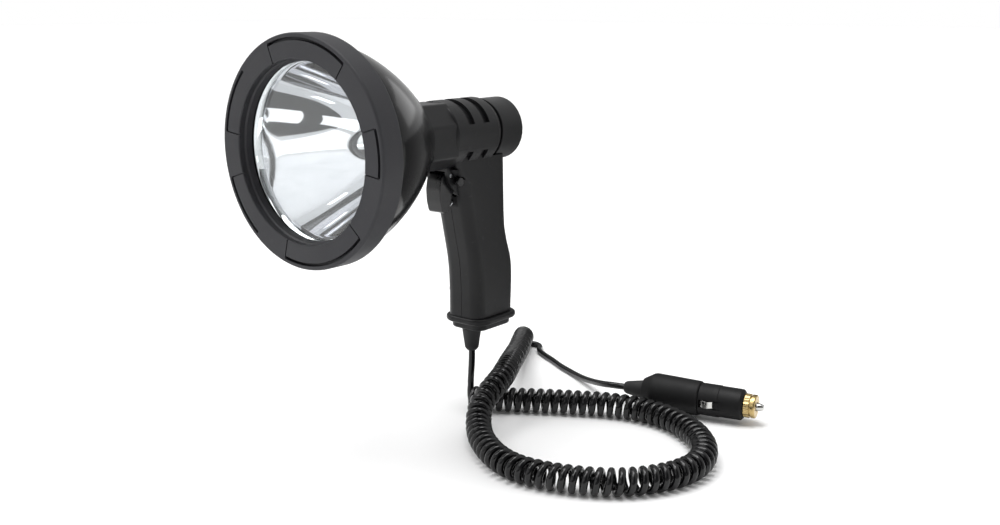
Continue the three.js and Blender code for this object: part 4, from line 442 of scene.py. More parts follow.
bowl_start = BEZEL_DEPTH + FIT
bowl_places = [bowl_start + (BOWL_BACK - bowl_start) * k / BOWL_STEPS for k in range(BOWL_STEPS + 1)]
bowl_outside = [(bowl_radius(y), y, 0) for y in bowl_places]
bowl_inside = [(bowl_radius(y) - BOWL_WALL, y, 0)
               for y in reversed(bowl_places) if HOLLOW_FRONT < y < HOLLOW_BACK]
bowl = turned(eased([
    (skirt_radius - FIT, RIM_FRONT, 0.3), *bowl_outside[:-1], (BOWL_THROAT, BOWL_BACK, 0.4),
    (SPIGOT_RADIUS, BOWL_BACK, 0), (SPIGOT_RADIUS, CATCH_FRONT, 0), (CATCH_RADIUS, CATCH_FRONT, 0.3),
    (CATCH_RADIUS, CATCH_BACK, 0.6), (SPIGOT_RADIUS, CATCH_BACK, 0), (SPIGOT_RADIUS, SPIGOT_END, 0.5),
    (SPIGOT_BORE, SPIGOT_END, 0.3), (SPIGOT_BORE, BOWL_FLOOR, 0),
    (bowl_radius(BOWL_FLOOR) - BOWL_WALL, BOWL_FLOOR, 0), *bowl_inside,
    (bowl_radius(SHELF_BACK) - BOWL_WALL, SHELF_BACK, 0), (SHELF_RADIUS, SHELF_BACK, 0.2),
    (SHELF_RADIUS, FLANGE_BACK + FIT, 0.2), (GLASS_RADIUS + FIT, FLANGE_BACK + FIT, 0),
    (GLASS_RADIUS + FIT, RIM_FRONT, 0.2)], 0.3), HEAD_SIDES)
# Polishing the mould leaves clear reflections of the studio, only slightly softened.
polished_abs = moulded("polished_black_abs", "#0c0c0d", "#121213", 45, (0.12, 0.2), 2.2, 0.005, 1.24, 0.06)
fitted("bowl", bowl, polished_abs, "bowl_plastic", "lamp", "head_bowl")

# The light engine: a star of white-masked aluminium board with one domed LED on the end of a finned
# heat sink, all behind the hole in the reflector. Two wires run through the heat sink to the driver.
BOARD_RADIUS, BOARD_FRONT, BOARD_BACK = 9, 73.3, 74.9
EMITTER_HALF, EMITTER_FRONT, EMITTER_BACK = 2.7, 72, 73
DOME_RADIUS, DOME_STEPS = 2.4, 12


def refinished(finish, *names):
    """Gives CAD nodes whose shapes are right their finish."""
    for name in names:
        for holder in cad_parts[name].material_slots:
            holder.material = finish


def metal(name, dark, pale, rough, cloud_mm, axis=(0, 0, 0), line_mm=0.3):
    """A metal: uneven tone and gloss, and fine tool lines across an axis where it was turned or drawn."""
    finish, tree, shader = new_finish(name, {"Metallic": 1})
    place = add_node(tree, "TexCoord").outputs["Object"]
    cloud = add_node(tree, "TexNoise", {}, {
        "Vector": place, "Scale": 1000 / cloud_mm, "Detail": 6, "Roughness": 0.65}).outputs["Fac"]
    tint = add_node(tree, "Mix", {"data_type": "RGBA"}, {
        "Factor": cloud, MIX_FIRST: linear(dark), MIX_SECOND: linear(pale)})
    tree.links.new(tint.outputs[MIXED], shader.inputs["Base Color"])
    gloss = add_node(tree, "MapRange", {}, {
        "Value": cloud, "From Min": 0.3, "From Max": 0.7, "To Min": rough[0], "To Max": rough[1]})
    tree.links.new(gloss.outputs["Result"], shader.inputs["Roughness"])
    along = add_node(tree, "VectorMath", {"operation": "DOT_PRODUCT"}, {0: place, 1: axis}).outputs["Value"]
    lines = add_node(tree, "TexNoise", {"noise_dimensions": "1D"}, {
        "W": along, "Scale": 1000 / line_mm, "Detail": 2}).outputs["Fac"]
    bump = add_node(tree, "Bump", {}, {"Height": lines, "Strength": 0.35, "Distance": 0.00002})
    tree.links.new(bump.outputs["Normal"], shader.inputs["Normal"])
    return finish


led_board = turned(eased(oblong(0, BOARD_RADIUS, BOARD_FRONT, BOARD_BACK), 0.2), 96)
# The mask is white and half glossy, so the board shows pale round the LED.
white_mask = moulded("white_solder_mask", "#e4e4de", "#f4f4f0", 2, (0.3, 0.45), 0.4, 0.01, 1.55, 0.05)
fitted("led_star_board", led_board, white_mask, "board_white", "lamp", "led_board")

emitter_base = extruded(oblong(-EMITTER_HALF, EMITTER_HALF, -EMITTER_HALF, EMITTER_HALF),
                        EMITTER_FRONT, EMITTER_BACK, along_beam)
dome_angles = [math.pi / 2 * k / DOME_STEPS for k in range(DOME_STEPS + 1)]
dome_outline = [(DOME_RADIUS * math.sin(a), EMITTER_FRONT - DOME_RADIUS * math.cos(a)) for a in dome_angles]
emitter_dome = turned(dome_outline + [(0, EMITTER_FRONT + 0.5)], 48)
# The phosphor under the clear silicone gives the unlit LED its yellow.
silicone = moulded("yellow_phosphor_silicone", "#e3c23e", "#f4dc6c", 1.5, (0.12, 0.2), 0.5, 0.004, 1.41, 0)
fitted("led_dome", together(emitter_base, emitter_dome), silicone, "led_phosphor", "lamp", "led_emitter")

# The aluminium is pale and half dull, with fine lines across the beam. The wires' PVC is smooth, and
# the driver's board is green under its mask.
extruded_aluminium = metal("extruded_aluminium", "#9a9ca0", "#b4b6ba", (0.32, 0.46), 12, (0, 1, 0), 0.5)
refinished(extruded_aluminium, "heat_sink")
red_pvc = moulded("red_wire_pvc", "#8e1414", "#a81c1c", 4, (0.35, 0.5), 0.5, 0.01, 1.53, 0.05)
black_pvc = moulded("black_wire_pvc", "#131315", "#1f1f21", 4, (0.35, 0.5), 0.5, 0.01, 1.53, 0.05)
refinished(red_pvc, "led_wire_red")
refinished(black_pvc, "led_wire_black")
fibreglass = moulded("green_masked_fibreglass", "#17492b", "#23633c", 1.6, (0.3, 0.5), 0.4, 0.02, 1.55, 0.1)
refinished(fibreglass, "driver_board")

# The body: two mirrored mouldings of satin black ABS that meet on the middle plane. Together they
# make an eight-sided barrel, a round ribbed rear with a neck, and the hollow pistol grip below.
BARREL_CORNERS = [(10.5, 22), (21.5, 8.2), (21.5, -12.6), (10.5, -21.5), (-10.5, -21.5), (-21.5, -12.6),
                  (-21.5, 8.2), (-10.5, 22)]
BARREL_FRONT, BARREL_BACK = 93.8, 118.5
REAR_RADIUS, REAR_FRONT, REAR_END = 23.2, 115.5, 159.3
THREAD_RADIUS, THREAD_END = 19.3, 164.2
GROOVE_FRONTS, GROOVE_WIDTH, GROOVE_FLOOR = (128.6, 143.8), 6.2, 20.8
GROOVE_ARCS = ((20, 160), (-62, -27), (207, 242))
GRIP_TOP, GRIP_FOOT = -22.7, -131
GRIP_FRONTS = [(GRIP_TOP, 122), (-29, 128.5), (-38, 131), (-50, 134), (-70, 138.5), (-92, 143),
               (-112, 144.4), (GRIP_FOOT, 144.4)]
GRIP_REARS = [(GRIP_TOP, 177.6), (-66, 179), (-78, 181.5), (-92, 186), (-104, 187.2), (GRIP_FOOT, 186.3)]
GRIP_HALF, GRIP_CORNER, GRIP_LEVELS = 15.5, 8.5, 44
SHELL_WALL, SHELL_GAP = 2.6, 0.15
CAP_RADIUS, CAP_ROOM = 21.7, 0.4
SADDLE_TOP, SADDLE_FRONT = -16.4, 154
CHEEKS = [(119.4, -18), (140, -18), (140, -44), (130.5, -41), (121.6, -31.5)]
CHEEK_HALF = 9.5
REAR_BORE, BORE_STEP, BORE_TURN = 18, 128, 1.3
POCKET_HALF = 7
SHELL_SCREWS = [(168.5, -36), (146.5, -66), (175.5, -84), (152, -113)]
TRIGGER_PIVOT, PIVOT_HOLE = (124.5, -27), 1.8
LOCK_PLACE = (128.9, -31)


def eased_loop(points, ease, steps=4):
    """A closed loop with all its corners rounded, which is done well away from the axis."""
    away = Vector((1000, 0))
    return [p - away for p in eased([Vector(p) + away for p in points], ease, steps)]


def lofted(rings):
    """A closed skin over rings of equal count, flat at both ends."""
    made = bmesh.new()
    loops = [[made.verts.new(p) for p in ring] for ring in rings]
    for near, far in zip(loops, loops[1:]):
        for i in range(len(near)):
            j = (i + 1) % len(near)
            made.faces.new((near[i], near[j], far[j], far[i]))
    made.faces.new(loops[0])
    made.faces.new(loops[-1])
    bmesh.ops.recalc_face_normals(made, faces=made.faces)
    return made


def rounded_ring(half_width, front, rear, corner, height, steps=8):
    """A level rounded rectangle."""
    side, near, far = half_width - corner, front + corner, rear - corner
    ring = []
    for quarter, (x, y) in enumerate(((side, far), (-side, far), (-side, near), (side, near))):
        for k in range(steps + 1):
            angle = (quarter + k / steps) * math.pi / 2
            ring.append((x + corner * math.cos(angle), y + corner * math.sin(angle), height))
    return ring


def between(t, start, start_slope, end, end_slope):
    """A smooth curve from start to end, with a slope at each, read at a share of the way."""
    return ((2 * t ** 3 - 3 * t ** 2 + 1) * start + (t ** 3 - 2 * t ** 2 + t) * start_slope
            + (3 * t ** 2 - 2 * t ** 3) * end + (t ** 3 - t ** 2) * end_slope)


def read_line(table, height):
    """A smooth reading of a table of heights, from high to low, and places."""
    k = max(i for i in range(len(table) - 1) if i == 0 or table[i][0] >= height)
    (h1, v1), (h2, v2) = table[k], table[k + 1]
    h0, v0 = table[k - 1] if k else (2 * h1 - h2, 2 * v1 - v2)
    h3, v3 = table[k + 2] if k + 2 < len(table) else (2 * h2 - h1, 2 * v2 - v1)
    slope1, slope2 = (v2 - v0) / (h2 - h0) * (h2 - h1), (v3 - v1) / (h3 - h1) * (h2 - h1)
    return between((height - h1) / (h2 - h1), v1, slope1, v2, slope2)


def grip_skin(inset, top, bottom, steps):
    """The grip's outside or, set in by a wall, its hollow."""
    rings = []
    for k in range(GRIP_LEVELS + 1):
        height = top + (bottom - top) * k / GRIP_LEVELS
        level = min(max(height, GRIP_FOOT), GRIP_TOP)
        rings.append(rounded_ring(GRIP_HALF - inset, read_line(GRIP_FRONTS, level) + inset,
                                  read_line(GRIP_REARS, level) - inset, GRIP_CORNER - inset, height, steps))
    return lofted(rings)


def circle(radius, sides, middle=(0, 0)):
    """The corners of a round outline."""
    angles = [2 * math.pi * i / sides for i in range(sides)]
    return [(middle[0] + radius * math.cos(a), middle[1] + radius * math.sin(a)) for a in angles]


def cross_bar(radius, start, end, place, sides=48):
    """A round bar across the lamp."""
    return extruded(circle(radius, sides, place), start, end, across)


def block(x0, x1, y0, y1, z0, z1):
    """A box between two places on each axis."""
    return extruded(oblong(y0, y1, z0, z1), x0, x1, across)


barrel = extruded(eased_loop(BARREL_CORNERS, 1.6), BARREL_FRONT, BARREL_BACK, along_beam)
grooves = together(*[arc_bar(GROOVE_FLOOR, REAR_RADIUS + OVERRUN, front, front + GROOVE_WIDTH, *arc)
                     for front in GROOVE_FRONTS for arc in GROOVE_ARCS])
round_rear = carved(turned(eased([
    (0, REAR_FRONT), (REAR_RADIUS - 2, REAR_FRONT, 0), (REAR_RADIUS, REAR_FRONT + 2, 0.8),
    (REAR_RADIUS, REAR_END, 0.8), (THREAD_RADIUS, REAR_END, 0), (THREAD_RADIUS, THREAD_END, 0.4),
    (0, THREAD_END)], 0.5), 128), ("DIFFERENCE", grooves))
neck = lofted([rounded_ring(GRIP_HALF, 118.7 + (-8 - z) / 2, REAR_END, 3, z) for z in (-30, -8)])
# The grip's top rises on both sides of the cap, and leaves it room to turn. It is drawn a hair
# narrower than the grip, so that no two skins fall together.
HAIR = 0.02
cap_room = turned(oblong(0, CAP_RADIUS + CAP_ROOM, REAR_END - 0.1, 179), 128)
saddle_rings = [rounded_ring(GRIP_HALF - HAIR, 150, GRIP_REARS[0][1] - HAIR, GRIP_CORNER - HAIR, z)
                for z in (-25, -10)]
saddle = carved(lofted(saddle_rings), ("INTERSECT", block(-16, 16, SADDLE_FRONT, 178, -24, SADDLE_TOP)),
                ("DIFFERENCE", cap_room))
cheeks = extruded(eased_loop(CHEEKS, 2), -CHEEK_HALF, CHEEK_HALF, across)
bore = turned([
    (0, 92.5), (SPIGOT_RADIUS + FIT, 92.5), (SPIGOT_RADIUS + FIT, CATCH_FRONT - FIT),
    (CATCH_RADIUS + FIT, CATCH_FRONT - FIT), (CATCH_RADIUS + FIT, CATCH_BACK + FIT),
    (SPIGOT_RADIUS + FIT, CATCH_BACK + FIT), (SPIGOT_RADIUS + FIT, BORE_STEP), (REAR_BORE, BORE_STEP),
    (REAR_BORE, THREAD_END + OVERRUN), (0, THREAD_END + OVERRUN)], 96)
# The bore is turned a little, so that none of its corners falls on a corner of the barrel.
bore = spun(bore, BORE_TURN)
bosses = together(*[cross_bar(4, -14.2, 14.2, place) for place in SHELL_SCREWS])
switch_room = block(-12, 12, 135, 156, -30, 0)
upper_pocket = block(-POCKET_HALF, POCKET_HALF, 108, 138.2, -43, -23.8)
lower_pocket = block(HAIR - POCKET_HALF, POCKET_HALF - HAIR, 107, 133.9, -54, -42.5)
wells = together(*[cross_bar(3.1, -16.5, -12.4, place) for place in SHELL_SCREWS],
                 cross_bar(3.4, CHEEK_HALF, 16.5, LOCK_PLACE))
shanks = together(*[cross_bar(1.7, -13, 9.3, place, 24) for place in SHELL_SCREWS],
                  cross_bar(2.1, 0, 10, LOCK_PLACE, 32),
                  cross_bar(PIVOT_HOLE, -GRIP_HALF, GRIP_HALF, TRIGGER_PIVOT, 32))
whole_body = carved(
    barrel, ("UNION", round_rear), ("UNION", neck), ("UNION", grip_skin(0, GRIP_TOP, GRIP_FOOT, 8)),
    ("UNION", saddle), ("UNION", cheeks), ("DIFFERENCE", bore),
    ("DIFFERENCE", grip_skin(SHELL_WALL, -29, GRIP_FOOT - OVERRUN, 4)), ("UNION", bosses),
    ("DIFFERENCE", switch_room), ("DIFFERENCE", upper_pocket), ("DIFFERENCE", lower_pocket),
    ("DIFFERENCE", wells), ("DIFFERENCE", shanks))
left_half = carved(whole_body.copy(), ("INTERSECT", block(SHELL_GAP, 60, 60, 220, -160, 60)))
right_half = carved(whole_body, ("INTERSECT", block(-60, -SHELL_GAP, 60, 220, -160, 60)))
# The mould is blasted rather than polished, so the body has a soft sheen and no clear reflections.
satin_abs = moulded("satin_black_abs", "#0f0f10", "#151517", 22, (0.34, 0.48), 0.5, 0.012, 1.34, 0.06)
fitted("left_body_half", left_half, satin_abs, "shell_plastic", "lamp", "body_shell_left")
fitted("right_body_half", right_half, satin_abs, "shell_plastic", "lamp", "body_shell_right")

# The four shell screws: pan heads with a cross recess, sunk in the right half. Black oxide leaves
# the steel nearly black, with a dull metal sheen.
SCREW_HEAD, HEAD_HEIGHT, SCREW_SHANK = 2.8, 1.8, 1.4
RECESS_ARM, RECESS_EDGE, RECESS_DEPTH = 1.8, 0.4, 0.9
SHELL_SCREW_LENGTH, SHELL_SCREW_TOP = 23.7, -14.7


def set_in(made, place, turn, axis):
    """Turns a mesh about an axis and moves it to a place."""
    made.transform(Matrix.Translation(place) @ Matrix.Rotation(turn, 4, axis))
    return made


def cross_screw(length):
    """A screw along Y, its head's top at zero."""
    blank = turned(eased([
        (0, 0), (SCREW_HEAD, 0, 0.9), (SCREW_HEAD, HEAD_HEIGHT, 0.15), (SCREW_SHANK, HEAD_HEIGHT, 0),
        (SCREW_SHANK, length, 0.3), (0, length)], 0.3), 40)
    level = oblong(-RECESS_ARM, RECESS_ARM, -RECESS_EDGE, RECESS_EDGE)
    upright = oblong(-RECESS_EDGE, RECESS_EDGE, -RECESS_ARM, RECESS_ARM)
    return carved(blank, ("DIFFERENCE", extruded(level, -OVERRUN, RECESS_DEPTH, along_beam)),
                  ("DIFFERENCE", extruded(upright, -OVERRUN, RECESS_DEPTH - HAIR, along_beam)))


black_oxide = metal("black_oxide_steel", "#1d1d1f", "#2c2c2f", (0.34, 0.48), 3)
for i, (y, z) in enumerate(SHELL_SCREWS):
    screw = set_in(cross_screw(SHELL_SCREW_LENGTH), (SHELL_SCREW_TOP, y, z), -math.pi / 2, "Z")
    fitted(f"side_screw_{i + 1}", screw, black_oxide, "black_steel", "lamp", f"shell_screw_{i + 1}")

# The rear cap and its seal: a screwed cap of the same satin ABS with a rounded edge, and a rubber
# ring in the groove ahead of it that keeps water out of the barrel.
LAMP_LENGTH = 187.6
CAP_WALL, CAP_STEP, CAP_FRONT, COLLAR_FRONT, COLLAR_BORE = 3, 17.7, 164.5, 157.5, 15.7
SEAL_RADIUS, SEAL_PLACE, SEAL_HALF = 20.6, 161.75, 1
cap = turned(eased([
    (0, LAMP_LENGTH - CAP_WALL), (COLLAR_BORE, LAMP_LENGTH - CAP_WALL, 0.5),
    (COLLAR_BORE, COLLAR_FRONT, 0.2), (CAP_STEP, COLLAR_FRONT, 0.3), (CAP_STEP, CAP_FRONT, 0),
    (CAP_RADIUS, CAP_FRONT, 0.5), (CAP_RADIUS, LAMP_LENGTH, 2.4), (0, LAMP_LENGTH)], 0.4, 8), 144)
fitted("screw_cap", cap, satin_abs, "shell_plastic", "cap", "rear_cap")
seal = turned(circle(SEAL_HALF, 14, (SEAL_RADIUS, SEAL_PLACE)), 128)
fitted("cap_ring_seal", seal, black_rubber, "rubber_black", "lamp", "rear_cap_seal")

# The trigger: a curved blade of smooth black acetal on a steel pin, with a nose at its back that
# pushes the switch's plunger. A small coil spring behind it brings it back.
BLADE = [(121.4, -25.6), (117.6, -29), (116.2, -36), (116.6, -44), (118.6, -51.4), (121.2, -52.6),
         (125, -50.6), (127.6, -44.6), (129.2, -39.4), (134.4, -37.2), (134.4, -33.4), (130.2, -30),
         (127.4, -26)]
BLADE_HALF = 6.5
PIN_RADIUS, PIN_HALF = 1.5, 9.2


def soft_edges(made, reach, least=40):
    """Rounds a mesh's sharp edges."""
    sharp = [e for e in made.edges if len(e.link_faces) == 2 and e.calc_face_angle() > math.radians(least)]
    bmesh.ops.bevel(made, geom=sharp, offset=reach, segments=3, affect="EDGES", profile=0.5)
    return made


blade = soft_edges(extruded(eased_loop(BLADE, 1.6, 5), -BLADE_HALF, BLADE_HALF, across), 0.6)
blade = carved(blade, ("DIFFERENCE", cross_bar(PIVOT_HOLE, -POCKET_HALF, POCKET_HALF, TRIGGER_PIVOT, 32)),
               ("DIFFERENCE", cross_bar(3.5, 4.6, 8, LOCK_PLACE, 40)))
# Acetal is smoother and a little glossier than the body beside it, and zinc makes the steel bright.
smooth_acetal = moulded("smooth_black_acetal", "#0c0c0d", "#131315", 14, (0.24, 0.36), 0.8, 0.008, 1.48, 0.06)
fitted("trigger_blade", blade, smooth_acetal, "control_plastic", "trigger", "trigger")
bright_steel = metal("bright_zinc_steel", "#a9abae", "#c3c5c8", (0.2, 0.34), 4, (1, 0, 0), 0.4)
pin = soft_edges(cross_bar(PIN_RADIUS, -PIN_HALF, PIN_HALF, TRIGGER_PIVOT, 40), 0.25)
fitted("pivot_pin", pin, bright_steel, "steel", "lamp", "trigger_pin")
refinished(bright_steel, "trigger_spring")

# The lock button: one round moulding of the trigger's acetal. It slides in a well in the left cheek,
# and its shank blocks the trigger.
button = turned(eased([
    (0, 7.1), (1.8, 7.1, 0.3), (1.8, 12.2, 0), (3.1, 12, 0.2), (3.1, 14.4, 0.8), (0, 14.1)], 0.3, 6), 64)
button = set_in(button, (0, *LOCK_PLACE), -math.pi / 2, "Z")
fitted("round_lock_button", button, smooth_acetal, "control_plastic", "lock", "lock_button")

# The snap switch behind the trigger: a case of moulded black phenolic with a white nylon plunger in
# its front. Both have a slight sheen.
black_phenolic = moulded("black_phenolic", "#1a1a1b", "#262627", 3, (0.3, 0.42), 0.4, 0.01, 1.6, 0.1)
refinished(black_phenolic, "trigger_switch")
white_nylon = moulded("white_nylon", "#dcdcd4", "#ecece6", 3, (0.35, 0.5), 0.5, 0.01, 1.53, 0.05)
refinished(white_nylon, "switch_plunger")

# The base: a satin ABS plug for the foot of the grip, with a broad rounded flange, a smaller foot
# and a spigot inside the shells. Two screws hold it from below.
BASE_HALF, BASE_FRONT, BASE_REAR, BASE_CORNER = 19.2, 142.7, 189.4, 12
FLANGE_BOTTOM, FLANGE_SPRING, FLANGE_ROUND = -135.9, -133.1, 1.8
FOOT_BOTTOM, FOOT_INSET, FOOT_ROUND = -140.9, 4.4, 1.6
CORD_PLACE = (0, 155.6)
FOOT_SCREWS, FOOT_SCREW_TOP, FOOT_SCREW_LENGTH = [(-8, 172), (8, 172)], -140.1, 24.1


def base_ring(inset, height):
    """The base's outline at a height, set in from the flange's edge."""
    return rounded_ring(BASE_HALF - inset, BASE_FRONT + inset, BASE_REAR - inset, BASE_CORNER - inset,
                        height, 12)


def upward(u, v, w):
    """Lays an outline level and draws it out upward."""
    return (u, v, w)


def upright_bar(radius, bottom, top, place):
    """A round bar that stands upright."""
    return extruded(circle(radius, 48, place), bottom, top, upward)


rounding = [math.pi / 10 * k for k in range(6)]
flange = lofted(
    [base_ring(FLANGE_ROUND * (1 - math.sin(a)), FLANGE_BOTTOM + FLANGE_ROUND * (1 - math.cos(a)))
     for a in rounding]
    + [base_ring(FLANGE_ROUND * (1 - math.cos(a)), FLANGE_SPRING + FLANGE_ROUND * math.sin(a))
       for a in rounding])
foot = lofted(
    [base_ring(FOOT_INSET + FOOT_ROUND * (1 - math.sin(a)), FOOT_BOTTOM + FOOT_ROUND * (1 - math.cos(a)))
     for a in rounding] + [base_ring(FOOT_INSET, -135.4)])
spigot = lofted([rounded_ring(12.3, 147.6, 183.1, 5.3, z, 4) for z in (-132, -125.7)])
spigot_hollow = lofted([rounded_ring(10.5, 149.4, 181.3, 3.5, z, 4) for z in (-131.3, -124)])
base = carved(flange, ("UNION", foot), ("UNION", spigot), ("DIFFERENCE", spigot_hollow),
              ("DIFFERENCE", upright_bar(6.7, -142, -130, CORD_PLACE)),
              ("DIFFERENCE", upright_bar(8.3, -131.3, -124, CORD_PLACE)),
              ("DIFFERENCE", together(*[upright_bar(3.1, -142, -138, place) for place in FOOT_SCREWS])),
              ("DIFFERENCE", together(*[upright_bar(1.7, -139, -130, place) for place in FOOT_SCREWS])))
fitted("grip_foot", base, satin_abs, "shell_plastic", "lamp", "grip_base")
for i, place in enumerate(FOOT_SCREWS):
    screw = set_in(cross_screw(FOOT_SCREW_LENGTH), (*place, FOOT_SCREW_TOP), math.pi / 2, "X")
    fitted(f"foot_screw_{i + 1}", screw, black_oxide, "black_steel", "lamp", f"base_screw_{i + 1}")

# The strain relief: soft black rubber, moulded with a flange that sits inside the base and a taper
# that lets the cable bend gently where it leaves the grip. The cable's wires go on inside the grip.
relief = turned(eased([
    (0, -157.8), (3.3, -157.8, 0.5), (4.95, -155.8, 0.8), (7, -141.2, 0.5), (6.4, -141.2, 0), (6.4, -131, 0),
    (8, -131, 0.4), (8, -128.8, 0.4), (0, -128.8)], 0.4), 64)
relief = set_in(relief, (*CORD_PLACE, 0), math.pi / 2, "X")
fitted("cable_relief", relief, black_rubber, "rubber_black", "lamp", "strain_relief")
refinished(red_pvc, "supply_wire_red", "switched_wire")
refinished(black_pvc, "supply_wire_black")

# The plug's rear: a rubber relief over the cable and a stout tapered handle of matt ABS. The plug
# is drawn along Y from the cable to its tip and then laid on the floor.
PLUG_START, PLUG_TURN = (84.7, 228.4, -187.4), math.radians(-76.8)
PLUG_SIDES = 96


def on_plug(made):
    """Lays a mesh drawn along the plug in the plug's place."""
    return set_in(made, PLUG_START, PLUG_TURN, "Z")


plug_relief = turned(eased([
    (0, 0), (3.4, 0, 0.4), (4.6, 1.8, 0.6), (6.9, 14.3, 0.4), (4.5, 14.3, 0), (4.5, 20.3, 0),
    (0, 20.3)], 0.4), 64)
plug_relief = fitted("plug_cable_relief", on_plug(plug_relief), black_rubber, "rubber_black", "lamp",
                     "plug_strain_relief")
handle = turned(eased([
    (8.6, 14.6, 0.5), (13.5, 22.9, 1.8), (12.3, 56.3, 0.6), (11.6, 57, 0.3), (8.9, 57, 0), (8.9, 24, 0),
    (0.9, 24, 0), (0.9, 20.6, 0), (4.8, 20.6, 0), (4.8, 14.6, 0)], 0.4), PLUG_SIDES)
# A coarse mould wall leaves the plug duller than the lamp's body.
matt_abs = moulded("matt_black_abs", "#0b0b0c", "#111112", 22, (0.5, 0.64), 0.5, 0.012, 1.32, 0.05)
plug_handle = fitted("plug_handle", on_plug(handle), matt_abs, "shell_plastic", "lamp", "plug_body")

# The plug's front sleeve: a barrel with a raised collar, a window on either side for the contacts
# and two moulded rails ahead of each window.
WINDOW_HALF, RAIL_HALF = 2.7, 0.4
sleeve = turned(eased([
    (4.2, 50.3, 0), (8.6, 50.3, 0.3), (8.6, 57.3, 0), (11.4, 57.3, 0.3), (11.4, 71, 0.3), (11.1, 71.3, 0.2),
    (10.9, 86.8, 0.5), (9.3, 88.4, 0.4), (6.8, 88.4, 0.2), (6.8, 83, 0), (4.2, 83, 0)], 0.3), PLUG_SIDES)
windows = together(*[block(x0, x1, 58.2, 68.8, -WINDOW_HALF, WINDOW_HALF)
                     for x0, x1 in ((7.2, 12.4), (-12.4, -7.2))])
rails = together(*[block(x0, x1, 67.8, 73.8, z - RAIL_HALF, z + RAIL_HALF)
                   for x0, x1 in ((10.5, 12.4), (-12.4, -10.5)) for z in (-2.71, 2.71)])
sleeve = carved(sleeve, ("DIFFERENCE", windows), ("DIFFERENCE", rails))
plug_front = fitted("plug_front_sleeve", on_plug(sleeve), matt_abs, "shell_plastic", "lamp", "plug_sleeve")

# The side contacts: strips of nickel-plated spring steel, bowed so that they press on the socket.
# The plating is bright and slightly warm, with fine lines across it.
CONTACT_RADIUS, CONTACT_BOW, CONTACT_THICK, CONTACT_HALF = 10.2, 2.2, 0.9, 2.4
CONTACT_START, CONTACT_LENGTH, CONTACT_STEPS = 58.5, 10, 24
plug_axis = (0.97358, 0.22835, 0)
nickel_plate = metal("bright_nickel_plate", "#b9b9b6", "#dadad7", (0.1, 0.22), 2.5, plug_axis, 0.3)
for side, body in ((1, "contact_left"), (-1, "contact_right")):
    crown = [(side * (CONTACT_RADIUS + CONTACT_BOW * math.sin(math.pi * k / CONTACT_STEPS)),
              CONTACT_START + CONTACT_LENGTH * k / CONTACT_STEPS) for k in range(CONTACT_STEPS + 1)]
    strip = [*crown, *[(x - side * CONTACT_THICK, y) for x, y in reversed(crown)]]
    bowed = soft_edges(extruded(strip, -CONTACT_HALF, CONTACT_HALF, upward), 0.18)
    fitted(f"bowed_{body}", on_plug(bowed), nickel_plate, "nickel", body, f"plug_{body}")

# The nose: turned brass with a fluted band to grip, a waist and a rounded flange, screwed into the
# sleeve. Turning leaves rings that catch the light. The sprung centre pin shows through it.
FLUTES, FLUTE_STEPS, FLUTE_DEPTH = 15, 10, 0.45
BAND_RADIUS, BAND_START, BAND_END = 8.5, 88.7, 92.7
WAIST_RADIUS, NOSE_RADIUS, NOSE_END, NOSE_BORE = 7.2, 8.3, 96.8, 3.3
flute_angles = [2 * math.pi * i / (FLUTES * FLUTE_STEPS) for i in range(FLUTES * FLUTE_STEPS)]
flute_radii = [BAND_RADIUS - FLUTE_DEPTH * (0.5 - 0.5 * math.cos(FLUTES * a)) for a in flute_angles]
band_outline = [(r * math.cos(a), r * math.sin(a)) for r, a in zip(flute_radii, flute_angles)]
fluted = soft_edges(extruded(band_outline, BAND_START, BAND_END, along_beam), 0.3)
front = turned(eased([
    (0, 84), (6.5, 84, 0), (6.5, 88.9, 0), (WAIST_RADIUS, 88.9, 0), (WAIST_RADIUS, 93.7, 0),
    (NOSE_RADIUS, 93.7, 0.3), (NOSE_RADIUS, NOSE_END, 1.2), (0, NOSE_END)], 0.3), PLUG_SIDES)
nose_bore = turned(oblong(0, NOSE_BORE, 82, 98), 48)
nose = carved(fluted, ("UNION", front), ("DIFFERENCE", nose_bore))
turned_brass = metal("turned_brass", "#a58c58", "#d2bb88", (0.2, 0.36), 3, plug_axis, 0.35)
nose_piece = fitted("brass_nose", on_plug(nose), turned_brass, "brass", "nose_ring", "plug_nose_ring")
tip = turned(eased([
    (0, 80.6), (3.8, 80.6, 0.3), (3.8, 83, 0.2), (3, 83, 0), (3, NOSE_END, 0), (2.6, 99.5, 0.8),
    (1.95, 101.5, 0.7), (0, 102.2)], 0.3, 6), 48)
tip_piece = fitted("contact_pin", on_plug(tip), nickel_plate, "nickel", "center_pin", "plug_center_pin")

# Inside the plug: a glass fuse and the coiled steel spring that pushes it and the pin forward. Both
# keep their CAD shapes.
fuse_glass = moulded("fuse_glass", "#c9cfcf", "#e2e6e6", 3, (0.05, 0.12), 0.6, 0.004, 1.5, 0.05)
refinished(fuse_glass, "plug_fuse")
refinished(bright_steel, "plug_pin_spring")

